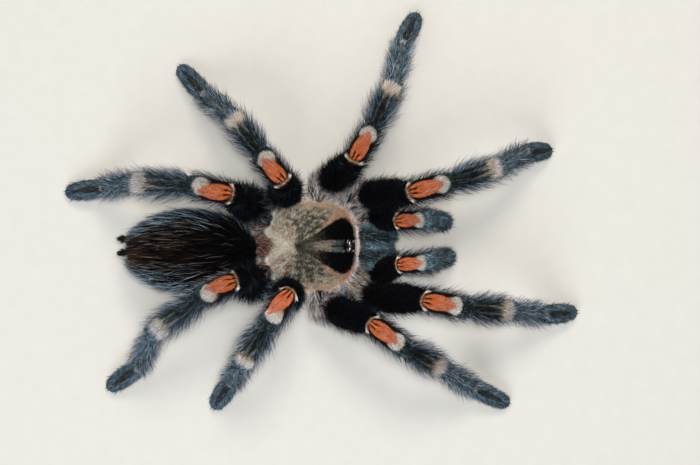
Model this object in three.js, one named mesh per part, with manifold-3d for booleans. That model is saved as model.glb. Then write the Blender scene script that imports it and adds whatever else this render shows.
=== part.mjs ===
// A red-kneed tarantula standing still, life size, as a set of closed solids.
// Millimetres. +X towards the head, +Y the spider's left, +Z up, the floor at z = 0.
// The solids reach out to the tips of the dense coat of hair.

import * as THREE from "three";
import { mergeVertices } from "three/addons/utils/BufferGeometryUtils.js";
import Module from "manifold-3d";

const wasm = await Module();
wasm.setup();

// ---------------------------------------------------------------- driving dimensions

const GAP = 0.3; // clear space between two neighbouring pieces
const LIMB_SIDES = 8; // faces round a limb
const FOOT_SINK = 0.86; // height of a foot's tip over its radius, which leaves a small flat

const CARAPACE = {
  reach: { front: 10.2, rear: 10.8, side: 10.0 },
  squareness: { front: 2.5, rear: 2.1 },
  rim: 7.9, // height of the side and rear edge
  frontLift: 1.9, // the front edge stands this much higher
  lip: 0.7, // thickness at the edge
  dome: 3.6, // rise of the thoracic part
  notch: 1.6, // depth of the notch over the pedicel
  sectors: 28,
  rings: [0, 0.16, 0.32, 0.5, 0.68, 0.84, 0.95, 1], // shares of the way to the edge
};
const HEAD_SWELL = { x: 4.2, length: 5.2, width: 4.2, height: 1.5 };
const FOVEA = { x: -3.2, length: 1.0, width: 1.7, height: -1.1 };

const EYE_MOUND = { x: 7.95, z: 12.6, half: [1.05, 1.38, 1.0] };
// Each pair of lenses: how far forward, to the side and up from the mound's middle, and
// half their size.
const LENS_PAIRS = [
  { at: [-0.12, 0.62, 0.74], half: [0.4, 0.4, 0.36] },
  { at: [0.62, 0.95, 0.38], half: [0.36, 0.3, 0.32] },
  { at: [-0.62, 0.72, 0.5], half: [0.22, 0.26, 0.22] },
  { at: [-0.42, 1.12, 0.36], half: [0.3, 0.22, 0.26] },
];

const STERNUM = { centre: [-0.8, 0, 5.3], half: [7.6, 6.2, 2.2] };
const COXA = { start: 0.36, near: 2.2, far: 2.4 }; // start is a share of the way to the hip

const CHELICERA = {
  base: [6.6, 2.75, 7.9],
  length: 10.7,
  radius: 2.6,
  tallness: 1.2,
  bluntness: 0.7,
  heading: -6,
  pitch: 9,
  droop: 0.042, // the far end falls by this times the distance squared
};
const FANG = {
  radius: 0.8,
  course: [
    [15.0, 2.3, 4.6],
    [15.2, 2.2, 2.6],
    [13.4, 2.0, 1.3],
    [11.2, 1.7, 1.0],
    [9.4, 1.5, 1.5],
  ],
};

const ABDOMEN = {
  front: -11.4,
  length: 27.4,
  halfWidth: 8.7,
  halfHeight: 7.2,
  middle: { y: -1.1, z: 9.5 },
  bluntness: 0.55,
};
const SPINNERET = { base: [-36.4, 1.0, 7.4], length: 3.6, radius: 0.95, heading: 172, pitch: -4 };
const PEDICEL = { from: -12.6, to: -7.2, z: 6.4, radius: 1.5 };

// Hips: where a limb leaves its coxa, from the middle of the carapace.
const HIPS = {
  palp: [12.3, 6.4, 5.0],
  leg1: [10.0, 10.5, 6.8],
  leg2: [2.3, 12.4, 6.6],
  leg3: [-5.3, 10.2, 6.6],
  leg4: [-12.2, 7.2, 6.8],
};

// Joint to joint lengths, from the body outwards.
const LENGTHS = {
  palp: { femur: 9.8, patella: 5.8, tibia: 6.6, tarsus: 6.2 },
  leg1: { femur: 15.5, patella: 9.2, tibia: 11.2, metatarsus: 10.5, tarsus: 7.3 },
  leg2: { femur: 14.5, patella: 8.7, tibia: 11.1, metatarsus: 10.8, tarsus: 8.1 },
  leg3: { femur: 12.5, patella: 8.0, tibia: 10.5, metatarsus: 11.5, tarsus: 8.2 },
  leg4: { femur: 15.0, patella: 9.2, tibia: 12.9, metatarsus: 14.5, tarsus: 8.2 },
};

// Radius at the near and the far end, the swelling between, and height over width.
const GIRTHS = {
  femur: { near: 2.4, far: 2.6, swell: 0.45, tallness: 1.05 },
  patella: { near: 2.4, far: 2.45, swell: 0.15, tallness: 1.0 },
  tibia: { near: 2.3, far: 2.15, swell: 0.25, tallness: 1.0 },
  metatarsus: { near: 1.9, far: 1.75, swell: 0.15, tallness: 1.0 },
  tarsus: { near: 1.75, far: 1.6, swell: 0.35, tallness: 0.78 },
};
const STOUTNESS = { palp: 0.84, leg1: 1.0, leg2: 0.98, leg3: 1.02, leg4: 1.02 };

// Compass heading of each segment and its slope above the level, in degrees. A tarsus has
// no slope of its own here: it slants down until its tip rests on the floor.
const POSES = {
  palp_L: { hip: "palp", side: 1, heading: [-13, 2, 0, -6], pitch: [57, -5, -75] },
  palp_R: { hip: "palp", side: -1, heading: [24, 5, 11, 13], pitch: [50, 2, -68] },
  leg_L1: { hip: "leg1", side: 1, heading: [1, 15, 17, 29, 7], pitch: [52, -14, -12, -50] },
  leg_R1: { hip: "leg1", side: -1, heading: [-2, -10, -5, -9, 4], pitch: [35, 13, -27, -47] },
  leg_L2: { hip: "leg2", side: 1, heading: [37, 60, 65, 77, 64], pitch: [58, -26, -18, -32] },
  leg_R2: { hip: "leg2", side: -1, heading: [-18, -36, -30, -34, -26], pitch: [45, 4, -29, -45] },
  leg_L3: { hip: "leg3", side: 1, heading: [92, 129, 128, 141, 132], pitch: [78, -20, -17, -46] },
  leg_R3: { hip: "leg3", side: -1, heading: [209, 234, 237, 237, 235], pitch: [96, 15, -25, -62] },
  leg_L4: { hip: "leg4", side: 1, heading: [135, 167, 177, 187, 186], pitch: [73, -13, -8, -62] },
  leg_R4: { hip: "leg4", side: -1, heading: [161, 204, 216, 242, 214], pitch: [83, -17, -11, -52] },
};

const LOOKS = {
  carapace: { color: 0xb9a37c, roughness: 0.75 },
  eyes: { color: 0x0a0a0c, roughness: 0.15 },
  sternum_coxae: { color: 0x8f7d70, roughness: 0.8 },
  chelicera: { color: 0x3d4a52, roughness: 0.7 },
  fang: { color: 0x120c0a, roughness: 0.25 },
  abdomen: { color: 0x17130f, roughness: 0.7 },
  spinneret: { color: 0x1b1512, roughness: 0.8 },
  pedicel: { color: 0x4a3a30, roughness: 0.7 },
  femur: { color: 0x060607, roughness: 0.85 },
  patella: { color: 0xd2622c, roughness: 0.75 },
  tibia: { color: 0x1d252a, roughness: 0.75 },
  metatarsus: { color: 0x2b3a43, roughness: 0.75 },
  tarsus: { color: 0x34454f, roughness: 0.75 },
};

// ---------------------------------------------------------------- solids from geometry

// Welds a geometry and drops the flat triangles at its poles.
function solidFrom(geometry) {
  const bare = geometry.clone();
  bare.deleteAttribute("normal");
  bare.deleteAttribute("uv");
  const welded = mergeVertices(bare, 1e-4);
  const corners = welded.index.array;
  const triangles = [];
  for (let i = 0; i < corners.length; i += 3) {
    const [a, b, c] = corners.slice(i, i + 3);
    if (a !== b && b !== c && c !== a) {
      triangles.push(a, b, c);
    }
  }
  const mesh = new wasm.Mesh({
    numProp: 3,
    vertProperties: welded.attributes.position.array,
    triVerts: new Uint32Array(triangles),
  });
  return new wasm.Manifold(mesh);
}

function geometryFrom(solid) {
  const { numProp, vertProperties, triVerts } = solid.getMesh();
  const positions = vertProperties.filter((_, i) => i % numProp < 3);
  const geometry = new THREE.BufferGeometry();
  geometry.setAttribute("position", new THREE.BufferAttribute(positions, 3));
  geometry.setIndex(new THREE.BufferAttribute(triVerts, 1));
  geometry.computeVertexNormals();
  return geometry;
}

// The biggest of the pieces that a cut leaves.
function largest(solid) {
  return solid.decompose().reduce((a, b) => (a.volume() > b.volume() ? a : b));
}

// Moves every vertex of a geometry by a rule of its x, y and z.
function reshaped(geometry, rule) {
  const position = geometry.attributes.position;
  for (let i = 0; i < position.count; i++) {
    position.setXYZ(i, ...rule(position.getX(i), position.getY(i), position.getZ(i)));
  }
  return geometry;
}

// A body of revolution about +X from [x, radius] stations that close on the axis.
function turned(profile, sides, halfWidth = 1, halfHeight = 1) {
  const stations = profile.map(([x, radius]) => new THREE.Vector2(radius, x));
  const geometry = new THREE.LatheGeometry(stations, sides);
  geometry.rotateZ(-Math.PI / 2);
  geometry.scale(1, halfWidth, halfHeight);
  return geometry;
}

// The [x, radius] stations of a rod with rounded ends.
function rodProfile(length, near, far, swell) {
  const capAngles = [90, 48].map(THREE.MathUtils.degToRad);
  const bodySteps = [0, 0.5, 1];
  const cap = (radius) => capAngles.map((a) => [radius * Math.sin(a), radius * Math.cos(a)]);
  const body = bodySteps.map((t) => [
    length * t,
    near + (far - near) * t + swell * Math.sin(Math.PI * t),
  ]);
  const start = cap(near).map(([x, radius]) => [-x, radius]);
  const end = cap(far).map(([x, radius]) => [length + x, radius]);
  start[0][1] = 0;
  end[0][1] = 0;
  return [...start, ...body, ...end.reverse()];
}

function direction(heading, pitch) {
  const h = THREE.MathUtils.degToRad(heading);
  const p = THREE.MathUtils.degToRad(pitch);
  return new THREE.Vector3(
    Math.cos(p) * Math.cos(h),
    Math.cos(p) * Math.sin(h),
    Math.sin(p),
  );
}

// Sets a solid built along +X at a point, facing a heading and pitch with its back up.
function aimed(solid, from, heading, pitch) {
  const h = THREE.MathUtils.degToRad(heading);
  const along = direction(heading, pitch);
  const across = new THREE.Vector3(-Math.sin(h), Math.cos(h), 0);
  const back = new THREE.Vector3().crossVectors(along, across);
  const matrix = new THREE.Matrix4().makeBasis(along, across, back).setPosition(from);
  return solid.transform(matrix.elements);
}

// Keeps what lies beyond a plane through a point, less half the gap.
function keptBeyond(solid, point, normal) {
  return solid.trimByPlane(normal.toArray(), normal.dot(point) + GAP / 2);
}

function bothSides(solid) {
  return solid.add(solid.mirror([0, 1, 0]));
}

// ---------------------------------------------------------------- body

// How far the carapace reaches from its middle at an angle from the head: a rounded
// square in front, and two lobes with a notch between them behind.
function carapaceReach(angle) {
  const { reach, squareness, notch } = CARAPACE;
  const c = Math.cos(angle);
  const s = Math.sin(angle);
  const end = c > 0 ? "front" : "rear";
  const power = squareness[end];
  const sum = Math.abs(c / reach[end]) ** power + Math.abs(s / reach.side) ** power;
  const notchSharpness = 24;
  return sum ** (-1 / power) - notch * Math.max(0, -c) ** notchSharpness;
}

function bump({ x, length, width, height }, px, py) {
  return height * Math.exp(-(((px - x) / length) ** 2) - (py / width) ** 2);
}

// Height of the carapace's back; share is 0 at its middle and 1 at its edge.
function carapaceHeight(x, y, share) {
  const forward = Math.max(0, x / CARAPACE.reach.front);
  const edge = CARAPACE.rim + CARAPACE.frontLift * forward ** 2;
  const dome = CARAPACE.dome * (1 - share ** 2.6) * (1 - 0.3 * forward);
  const relief = bump(HEAD_SWELL, x, y) + bump(FOVEA, x, y);
  return edge + dome + relief * (1 - share ** 6);
}

function carapaceSolid(grow = 0) {
  const { sectors, rings, lip, rim, frontLift, reach } = CARAPACE;
  const last = rings.length - 1;
  const ball = new THREE.SphereGeometry(1, sectors, 2 * last);
  ball.rotateX(Math.PI / 2);
  const shell = reshaped(ball, (x, y, z) => {
    const ring = Math.round((2 * last * Math.acos(Math.abs(z))) / Math.PI);
    const share = rings[ring];
    const angle = Math.atan2(y, x);
    const radius = (carapaceReach(angle) + grow) * share;
    const px = radius * Math.cos(angle);
    const py = radius * Math.sin(angle);
    if (z > 0 || ring === last) {
      return [px, py, carapaceHeight(px, py, share) + grow];
    }
    const forward = Math.max(0, px / reach.front);
    return [px, py, rim - lip + frontLift * forward ** 2 - grow];
  });
  return solidFrom(shell);
}

// The mound with its eight lenses. It sinks into a pocket of the carapace.
function eyesSolid(grow = 0) {
  const { x, z, half } = EYE_MOUND;
  const mound = new THREE.SphereGeometry(1, 12, 6);
  mound.scale(...half.map((size) => size + grow));
  let solid = solidFrom(mound);
  for (const { at, half: lensHalf } of LENS_PAIRS) {
    const lens = new THREE.SphereGeometry(1, 6, 4);
    lens.scale(...lensHalf.map((size) => size + grow));
    lens.translate(...at);
    solid = solid.add(bothSides(solidFrom(lens)));
  }
  return solid.translate([x, 0, z]);
}

function coxaHeading(hip) {
  return THREE.MathUtils.radToDeg(Math.atan2(hip.y, hip.x - STERNUM.centre[0]));
}

function coxaSolid({ joints, segments }, grow) {
  const hip = joints[0];
  const outward = direction(coxaHeading(hip), 0);
  const from = new THREE.Vector3(...STERNUM.centre).lerp(hip, COXA.start);
  const length = hip.distanceTo(from);
  const rise = THREE.MathUtils.radToDeg(Math.asin((hip.z - from.z) / length));
  const rod = turned(rodProfile(length, COXA.near + grow, COXA.far + grow, 0), LIMB_SIDES);
  const coxa = aimed(solidFrom(rod), from, coxaHeading(hip), rise);
  const mitre = outward.add(segments[0].along).normalize().negate();
  return keptBeyond(coxa, hip, mitre);
}

// The breast plate with the ten coxae that spread from it.
function undersideSolid(limbs, grow = 0) {
  const plate = new THREE.SphereGeometry(1, 18, 8);
  plate.scale(...STERNUM.half.map((size) => size + grow));
  plate.translate(...STERNUM.centre);
  return limbs.reduce((solid, limb) => solid.add(coxaSolid(limb, grow)), solidFrom(plate));
}

function cheliceraSolid(grow = 0) {
  const { base, length, radius, tallness, bluntness, heading, pitch, droop } = CHELICERA;
  const steps = 7;
  const profile = [];
  for (let i = 0; i <= steps; i++) {
    const a = (Math.PI * i) / steps;
    const x = length / 2 - (length / 2 + grow) * Math.cos(a);
    profile.push([x, (radius + grow) * Math.sin(a) ** bluntness]);
  }
  profile[steps][1] = 0;
  const barrel = turned(profile, 12, 1, tallness);
  const drooped = reshaped(barrel, (x, y, z) => [x, y, z - droop * x * x]);
  const solid = aimed(solidFrom(drooped), new THREE.Vector3(...base), heading, pitch);
  return solid.trimByPlane([0, 1, 0], GAP / 2 - grow);
}

// A curved fang that narrows to its point, folded back beneath the chelicera.
function fangSolid(grow = 0) {
  const course = new THREE.CatmullRomCurve3(FANG.course.map((p) => new THREE.Vector3(...p)));
  const steps = 8;
  const sides = 6;
  const tube = new THREE.TubeGeometry(course, steps, 1, sides, false);
  const position = tube.attributes.position;
  for (let i = 0; i < position.count; i++) {
    const ring = Math.floor(i / (sides + 1));
    const t = ring / steps;
    const centre = course.getPointAt(t);
    const open = ring > 0 && ring < steps;
    const radius = open ? FANG.radius * (1.05 - 0.75 * t) + grow : 0;
    const spoke = new THREE.Vector3().fromBufferAttribute(position, i).sub(centre);
    position.setXYZ(i, ...centre.addScaledVector(spoke, radius).toArray());
  }
  return solidFrom(tube);
}

function abdomenSolid(grow = 0) {
  const { front, length, halfWidth, halfHeight, middle, bluntness } = ABDOMEN;
  const steps = 12;
  const profile = [];
  for (let i = 0; i <= steps; i++) {
    const a = (Math.PI * i) / steps;
    const x = length / 2 - (length / 2 + grow) * Math.cos(a);
    profile.push([x, i % steps ? Math.sin(a) ** (2 * bluntness) : 0]);
  }
  const egg = turned(profile, 20, halfWidth + grow, halfHeight + grow);
  egg.translate(front - length, middle.y, middle.z);
  return solidFrom(egg);
}

function spinneretSolid(grow = 0) {
  const { base, length, radius, heading, pitch } = SPINNERET;
  const profile = rodProfile(length, radius + grow, 0.65 * radius + grow, 0);
  return aimed(solidFrom(turned(profile, 8)), new THREE.Vector3(...base), heading, pitch);
}

function pedicelSolid() {
  const { from, to, z, radius } = PEDICEL;
  const waist = solidFrom(turned(rodProfile(to - from, radius, radius, 0), LIMB_SIDES));
  return waist.translate([from, 0, z]);
}

// ---------------------------------------------------------------- limbs

// The joints of one limb from its hip to its tip, and how each segment lies.
function limbLayout([name, { hip, side, heading, pitch }]) {
  const [x, y, z] = HIPS[hip];
  const footRadius = GIRTHS.tarsus.far * GIRTHS.tarsus.tallness * STOUTNESS[hip];
  const joints = [new THREE.Vector3(x, side * y, z)];
  const segments = Object.entries(LENGTHS[hip]).map(([part, length], i) => {
    const from = joints[i];
    const toFloor = Math.asin((from.z - FOOT_SINK * footRadius) / length);
    const slope = pitch[i] ?? -THREE.MathUtils.radToDeg(toFloor);
    const along = direction(heading[i], slope);
    joints.push(from.clone().addScaledVector(along, length));
    return { part, length, heading: heading[i], slope, along };
  });
  return { name, joints, segments, stout: STOUTNESS[hip] };
}

// One segment, mitred against its neighbours half a gap from each joint.
function segmentSolid({ joints, segments, stout }, i, grow = 0) {
  const { part, length, heading, slope, along } = segments[i];
  const { near, far, swell, tallness } = GIRTHS[part];
  const profile = rodProfile(length, near * stout + grow, far * stout + grow, swell * stout);
  const rod = solidFrom(turned(profile, LIMB_SIDES, 1, tallness));
  const before = i ? segments[i - 1].along : direction(coxaHeading(joints[0]), 0);
  const nearMitre = before.clone().add(along).normalize();
  const solid = keptBeyond(aimed(rod, joints[i], heading, slope), joints[i], nearMitre);
  if (i === segments.length - 1) {
    return solid.trimByPlane([0, 0, 1], 0);
  }
  const farMitre = along.clone().add(segments[i + 1].along).normalize().negate();
  return keptBeyond(solid, joints[i + 1], farMitre);
}

// ---------------------------------------------------------------- assembly

function meshOf(name, finish, solid) {
  const material = new THREE.MeshStandardMaterial({ ...LOOKS[finish], metalness: 0 });
  const mesh = new THREE.Mesh(geometryFrom(solid), material);
  mesh.name = name;
  return mesh;
}

function pairOf(name, solid) {
  const mirrored = solid.mirror([0, 1, 0]);
  return [meshOf(`${name}_L`, name, solid), meshOf(`${name}_R`, name, mirrored)];
}

function bodyMeshes(limbs) {
  const fangRoom = bothSides(fangSolid(GAP));
  const cheliceraRoom = bothSides(cheliceraSolid(GAP));
  const underside = undersideSolid(limbs).subtract(cheliceraRoom).subtract(fangRoom);
  const undersideRoom = undersideSolid(limbs, GAP);
  const abdomen = abdomenSolid().subtract(bothSides(spinneretSolid(GAP)));
  const waistRoom = carapaceSolid(GAP).add(undersideRoom).add(abdomenSolid(GAP));
  const chelicera = cheliceraSolid().subtract(carapaceSolid(GAP)).subtract(fangRoom);
  return [
    meshOf("carapace", "carapace", carapaceSolid().subtract(eyesSolid(GAP))),
    meshOf("eyes", "eyes", eyesSolid()),
    meshOf("sternum_coxae", "sternum_coxae", largest(underside.subtract(carapaceSolid(GAP)))),
    ...pairOf("chelicera", largest(chelicera)),
    ...pairOf("fang", fangSolid()),
    meshOf("pedicel", "pedicel", largest(pedicelSolid().subtract(waistRoom))),
    meshOf("abdomen", "abdomen", largest(abdomen.subtract(undersideRoom))),
    ...pairOf("spinneret", spinneretSolid()),
  ];
}

function limbMeshes(limbs) {
  const bodyRoom = carapaceSolid(GAP).add(abdomenSolid(GAP)).add(bothSides(cheliceraSolid(GAP)));
  const palps = limbs.filter(({ name }) => name.startsWith("palp"));
  const palpRoom = palps.reduce((room, palp) => room.add(segmentSolid(palp, 0, GAP)), bodyRoom);
  return limbs.flatMap((limb) => {
    const room = palps.includes(limb) ? bodyRoom : palpRoom;
    return limb.segments.map(({ part }, i) => {
      const solid = segmentSolid(limb, i);
      return meshOf(`${limb.name}_${part}`, part, i ? solid : largest(solid.subtract(room)));
    });
  });
}

const limbs = Object.entries(POSES).map(limbLayout);
const spider = new THREE.Group();
spider.add(...bodyMeshes(limbs), ...limbMeshes(limbs));

// The origin is the middle of the ground that the whole animal covers.
const bounds = new THREE.Box3().setFromObject(spider);
const middle = bounds.getCenter(new THREE.Vector3());
spider.position.set(-middle.x, -middle.y, -bounds.min.z);

export default spider;
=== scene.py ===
"""A red-kneed tarantula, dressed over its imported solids.

One skin lies inside the solids by the depth of the coat. The coat is solid hairs that grow
from the same surfaces, so skin and coat carry the same markings. Lengths are in millimetres
in the body's own frame until a mesh is made: +X towards the head, +Y the spider's left,
+Z up, measured from the middle of the carapace on the floor.
"""

import math
from dataclasses import dataclass, field

import bpy
import numpy as np
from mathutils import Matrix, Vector, kdtree


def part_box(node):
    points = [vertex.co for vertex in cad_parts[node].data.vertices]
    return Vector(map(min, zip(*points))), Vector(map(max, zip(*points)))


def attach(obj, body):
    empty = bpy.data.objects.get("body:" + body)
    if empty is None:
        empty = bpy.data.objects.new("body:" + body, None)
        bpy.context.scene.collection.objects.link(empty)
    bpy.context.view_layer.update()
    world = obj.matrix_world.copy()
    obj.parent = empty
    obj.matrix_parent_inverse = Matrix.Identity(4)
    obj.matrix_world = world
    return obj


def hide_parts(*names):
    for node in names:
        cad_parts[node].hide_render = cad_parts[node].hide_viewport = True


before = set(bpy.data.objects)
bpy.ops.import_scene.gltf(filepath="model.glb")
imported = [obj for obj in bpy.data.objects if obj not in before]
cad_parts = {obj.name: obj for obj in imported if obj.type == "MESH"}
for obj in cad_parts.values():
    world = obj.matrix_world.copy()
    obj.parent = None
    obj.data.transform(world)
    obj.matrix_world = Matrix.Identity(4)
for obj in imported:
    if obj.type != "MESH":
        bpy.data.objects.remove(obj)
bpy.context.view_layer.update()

MM = 0.001

# ---------------------------------------------------------------- sizes, as in the solids

CARAPACE_REACH = {"front": 10.2, "rear": 10.8, "side": 10.0}
CARAPACE_SQUARENESS = {"front": 2.5, "rear": 2.1}
CARAPACE_RIM = 7.9
CARAPACE_FRONT_LIFT = 1.9
CARAPACE_LIP = 0.7
CARAPACE_DOME = 3.6
CARAPACE_NOTCH = 1.6
# Swellings of its dome: x, length, width, height. The fovea is a pit, so its height is below 0.
HEAD_SWELL = (4.2, 5.2, 4.2, 1.5)
FOVEA = (-3.2, 1.0, 1.7, -1.1)

EYE_MOUND = {"at": (7.95, 0.0, 12.6), "half": (1.05, 1.38, 1.0)}
LENS_PAIRS = [
    {"at": (-0.12, 0.62, 0.85), "half": (0.43, 0.43, 0.25)},
    {"at": (0.62, 0.95, 0.38), "half": (0.36, 0.30, 0.32)},
    {"at": (-0.62, 0.72, 0.50), "half": (0.22, 0.26, 0.22)},
    {"at": (-0.42, 1.12, 0.36), "half": (0.30, 0.22, 0.26)},
]

STERNUM = {"centre": (-0.8, 0.0, 5.3), "half": (7.6, 6.2, 2.2)}
COXA = {"start": 0.36, "near": 2.2, "far": 2.4}
CHELICERA = {
    "base": (6.6, 2.75, 7.9),
    "length": 10.7,
    "radius": 2.6,
    "tallness": 1.2,
    "bluntness": 0.7,
    "heading": -6,
    "pitch": 9,
    "droop": 0.042,
}
FANG_RADIUS = 0.8
FANG_TAPER = (1.0, 0.95, 0.75, 0.5, 0.2)
FANG_COURSE = [
    (15.0, 2.3, 4.6),
    (15.2, 2.2, 2.6),
    (13.4, 2.0, 1.3),
    (11.2, 1.7, 1.0),
    (9.4, 1.5, 1.5),
]
ABDOMEN = {"front": -11.4, "length": 27.4, "half": (8.7, 7.2), "middle": (-1.1, 9.5)}
ABDOMEN_BLUNTNESS = 0.55
SPINNERET = {"base": (-36.4, 1.0, 7.4), "length": 3.6, "radius": 0.95, "heading": 172, "pitch": -4}
PEDICEL = {"from": -12.6, "to": -7.2, "z": 6.4, "radius": 1.3}

HIPS = {
    "palp": (12.3, 6.4, 5.0),
    "leg1": (10.0, 10.5, 6.8),
    "leg2": (2.3, 12.4, 6.6),
    "leg3": (-5.3, 10.2, 6.6),
    "leg4": (-12.2, 7.2, 6.8),
}
LEG_PARTS = ("femur", "patella", "tibia", "metatarsus", "tarsus")
PALP_PARTS = ("femur", "patella", "tibia", "tarsus")
LENGTHS = {
    "palp": (9.8, 5.8, 6.6, 6.2),
    "leg1": (15.5, 9.2, 11.2, 10.5, 7.3),
    "leg2": (14.5, 8.7, 11.1, 10.8, 8.1),
    "leg3": (12.5, 8.0, 10.5, 11.5, 8.2),
    "leg4": (15.0, 9.2, 12.9, 14.5, 8.2),
}
# Radius out to the tips of the dense coat: near end, far end, swelling between; then the
# height over the width, and how deep the skin lies under those tips.
GIRTHS = {
    "femur": (2.4, 2.6, 0.45, 1.05, 0.6),
    "patella": (2.4, 2.45, 0.15, 1.0, 0.5),
    "tibia": (2.3, 2.15, 0.25, 1.0, 0.6),
    "metatarsus": (1.9, 1.75, 0.15, 1.0, 0.55),
    "tarsus": (1.75, 1.6, 0.35, 0.78, 0.35),
}
# How thick each limb is beside leg 1.
STOUTNESS = {"palp": 0.84, "leg1": 1.0, "leg2": 0.98, "leg3": 1.02, "leg4": 1.02}
FOOT_SINK = 0.86  # height of a foot's end off the floor, as a share of its half height
KNEE_TUCK = 0.35  # how much thinner a femur's skin is where the knee stands over it

# How far inside its solid the skin of each part of the trunk lies, under its own coat.
INSETS = {
    "carapace": 0.45,
    "abdomen front": 0.35,
    "abdomen": 0.95,
    "chelicera": 0.55,
    "chelicera tip": 1.3,
    "sternum edge": 0.4,
    "sternum": 0.5,
    "coxa": 0.7,
    "spinneret": 0.12,
}
CHELICERA_START = 3.1  # along a chelicera; behind this it is under the carapace

# For each limb: its hip and side, the heading of each segment, and the slope of each but the
# last, which slants to the floor.
POSES = {
    "palp_L": ("palp", 1, (-13, 2, 0, -6), (57, -5, -75)),
    "palp_R": ("palp", -1, (24, 5, 11, 13), (50, 2, -68)),
    "leg_L1": ("leg1", 1, (1, 15, 17, 29, 7), (52, -14, -12, -50)),
    "leg_R1": ("leg1", -1, (-2, -10, -5, -9, 4), (35, 13, -27, -47)),
    "leg_L2": ("leg2", 1, (37, 60, 65, 77, 64), (58, -26, -18, -32)),
    "leg_R2": ("leg2", -1, (-18, -36, -30, -34, -26), (45, 4, -29, -45)),
    "leg_L3": ("leg3", 1, (92, 129, 128, 141, 132), (78, -20, -17, -46)),
    "leg_R3": ("leg3", -1, (209, 234, 237, 237, 235), (96, 15, -25, -62)),
    "leg_L4": ("leg4", 1, (135, 167, 177, 187, 186), (73, -13, -8, -62)),
    "leg_R4": ("leg4", -1, (161, 204, 216, 242, 214), (83, -17, -11, -52)),
}

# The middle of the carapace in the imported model's frame, from the carapace's own box.
low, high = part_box("carapace")
CENTRE = np.array([high.x / MM - CARAPACE_REACH["front"], (low.y + high.y) / 2 / MM, 0.0])

# ---------------------------------------------------------------- colours


def linear(hex_colour):
    """An sRGB hex value as three linear numbers."""
    value = int(hex_colour.lstrip("#"), 16)
    srgb = np.array([value >> 16 & 255, value >> 8 & 255, value & 255]) / 255.0
    return np.where(srgb <= 0.04045, srgb / 12.92, ((srgb + 0.055) / 1.055) ** 2.4)


VELVET_BLACK = linear("#040305")
BLUE_BLACK = linear("#0D1317")
GREEN_BLACK = linear("#0E1412")
UMBER_BLACK = linear("#12100E")
SLATE = linear("#26333B")
# Steel blue and pale steel are painted sheen: the light of the flash on black hair.
STEEL_BLUE_SHEEN = linear("#5A7583")
PALE_STEEL_SHEEN = linear("#9AB4C3")
KNEE_ORANGE = linear("#CE602B")
KNEE_DEEP = linear("#BC4A1C")
KNEE_PALE = linear("#E08E58")
KNEE_LINE = linear("#4A2A22")
CREAM = linear("#D2C2A8")
BONE = linear("#E6DDD0")
ASH = linear("#9AA2A6")
TAN = linear("#A98D6C")
BROWN = linear("#5A3F2B")
UMBER = linear("#2A1D14")
LILAC = linear("#B9B3BE")
GOLD_BEIGE = linear("#BBA685")
PALE_BEIGE = linear("#E2DAC6")
OLIVE_BLACK = linear("#23251E")
OLIVE_GREY = linear("#5C5C50")
RUST = linear("#A05C38")
PEACH = linear("#D6A684")
PINK_WHITE = linear("#E8DBD4")


def mix(a, b, share):
    """Colours a and b, with share of b: the share may be one number for each hair."""
    share = np.clip(np.asarray(share, float), 0, 1)[..., None]
    return a * (1 - share) + b * share


def smooth(low_edge, high_edge, x):
    """0 below the low edge, 1 above the high one, and an even curve between."""
    t = np.clip((x - low_edge) / (high_edge - low_edge), 0, 1)
    return t * t * (3 - 2 * t)


def band(low_edge, high_edge, x, soft):
    """1 between the two edges and 0 outside them, each edge eased over soft to either side."""
    rise = smooth(low_edge - soft, low_edge + soft, x)
    return rise * smooth(-high_edge - soft, -high_edge + soft, -x)


# ---------------------------------------------------------------- surfaces


def direction(heading, pitch):
    """The way that a heading over the floor and a slope upwards point, both in degrees."""
    h, p = math.radians(heading), math.radians(pitch)
    return np.array([math.cos(p) * math.cos(h), math.cos(p) * math.sin(h), math.sin(p)])


def frame_of(heading, pitch):
    """The way along a limb, across it to the left, and out of its back."""
    along = direction(heading, pitch)
    across = direction(heading + 90, 0)
    return along, across, np.cross(along, across)


def unit(vectors):
    return vectors / np.maximum(np.linalg.norm(vectors, axis=-1, keepdims=True), 1e-9)


STEP = 1e-3  # in u and v, to either side of a place, for its tangents
CELL = 4e-6  # the square of two steps


@dataclass
class Surface:
    """A closed stretch of skin: a point for each (u, v), u from pole to pole, v round it."""

    name: str
    kind: str
    point: object
    spread: tuple = (24, 24)
    facts: dict = field(default_factory=dict)

    def places(self, u, v):
        """Point, outward normal, tangents along u and round v, and area, for each (u, v)."""
        p = self.point(u, v)
        pu = self.point(np.minimum(u + STEP, 1), v) - self.point(np.maximum(u - STEP, 0), v)
        pv = self.point(u, v + STEP) - self.point(u, v - STEP)
        normal = unit(np.cross(pu, pv)) * self.outward
        return p, normal, unit(pu), unit(pv), np.linalg.norm(np.cross(pu, pv), axis=-1)

    def __post_init__(self):
        u, v = np.meshgrid(np.linspace(0.1, 0.9, 9), np.linspace(0, 1, 12, endpoint=False))
        self.outward = 1.0
        p, normal, *_ = self.places(u.ravel(), v.ravel())
        self.outward = math.copysign(1.0, np.sum(normal * (p - p.mean(axis=0))))

    def mesh(self):
        """Vertices and faces of the closed surface."""
        rows, columns = self.spread
        levels = np.linspace(0, 1, rows + 1)[1:-1]
        turns = np.linspace(0, 1, columns, endpoint=False)
        u, v = np.meshgrid(levels, turns, indexing="ij")
        poles = self.point(np.array([0.0, 1.0]), np.array([0.0, 0.0]))
        vertices = np.concatenate([self.point(u.ravel(), v.ravel()), poles])
        first, last = len(vertices) - 2, len(vertices) - 1
        bottom = (rows - 2) * columns
        faces = []
        for j in range(columns):
            k = (j + 1) % columns
            faces.append((first, k, j))
            faces.append((last, bottom + j, bottom + k))
            for i in range(rows - 2):
                a, b = i * columns, (i + 1) * columns
                faces.append((a + j, a + k, b + k, b + j))
        return vertices, faces


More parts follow.
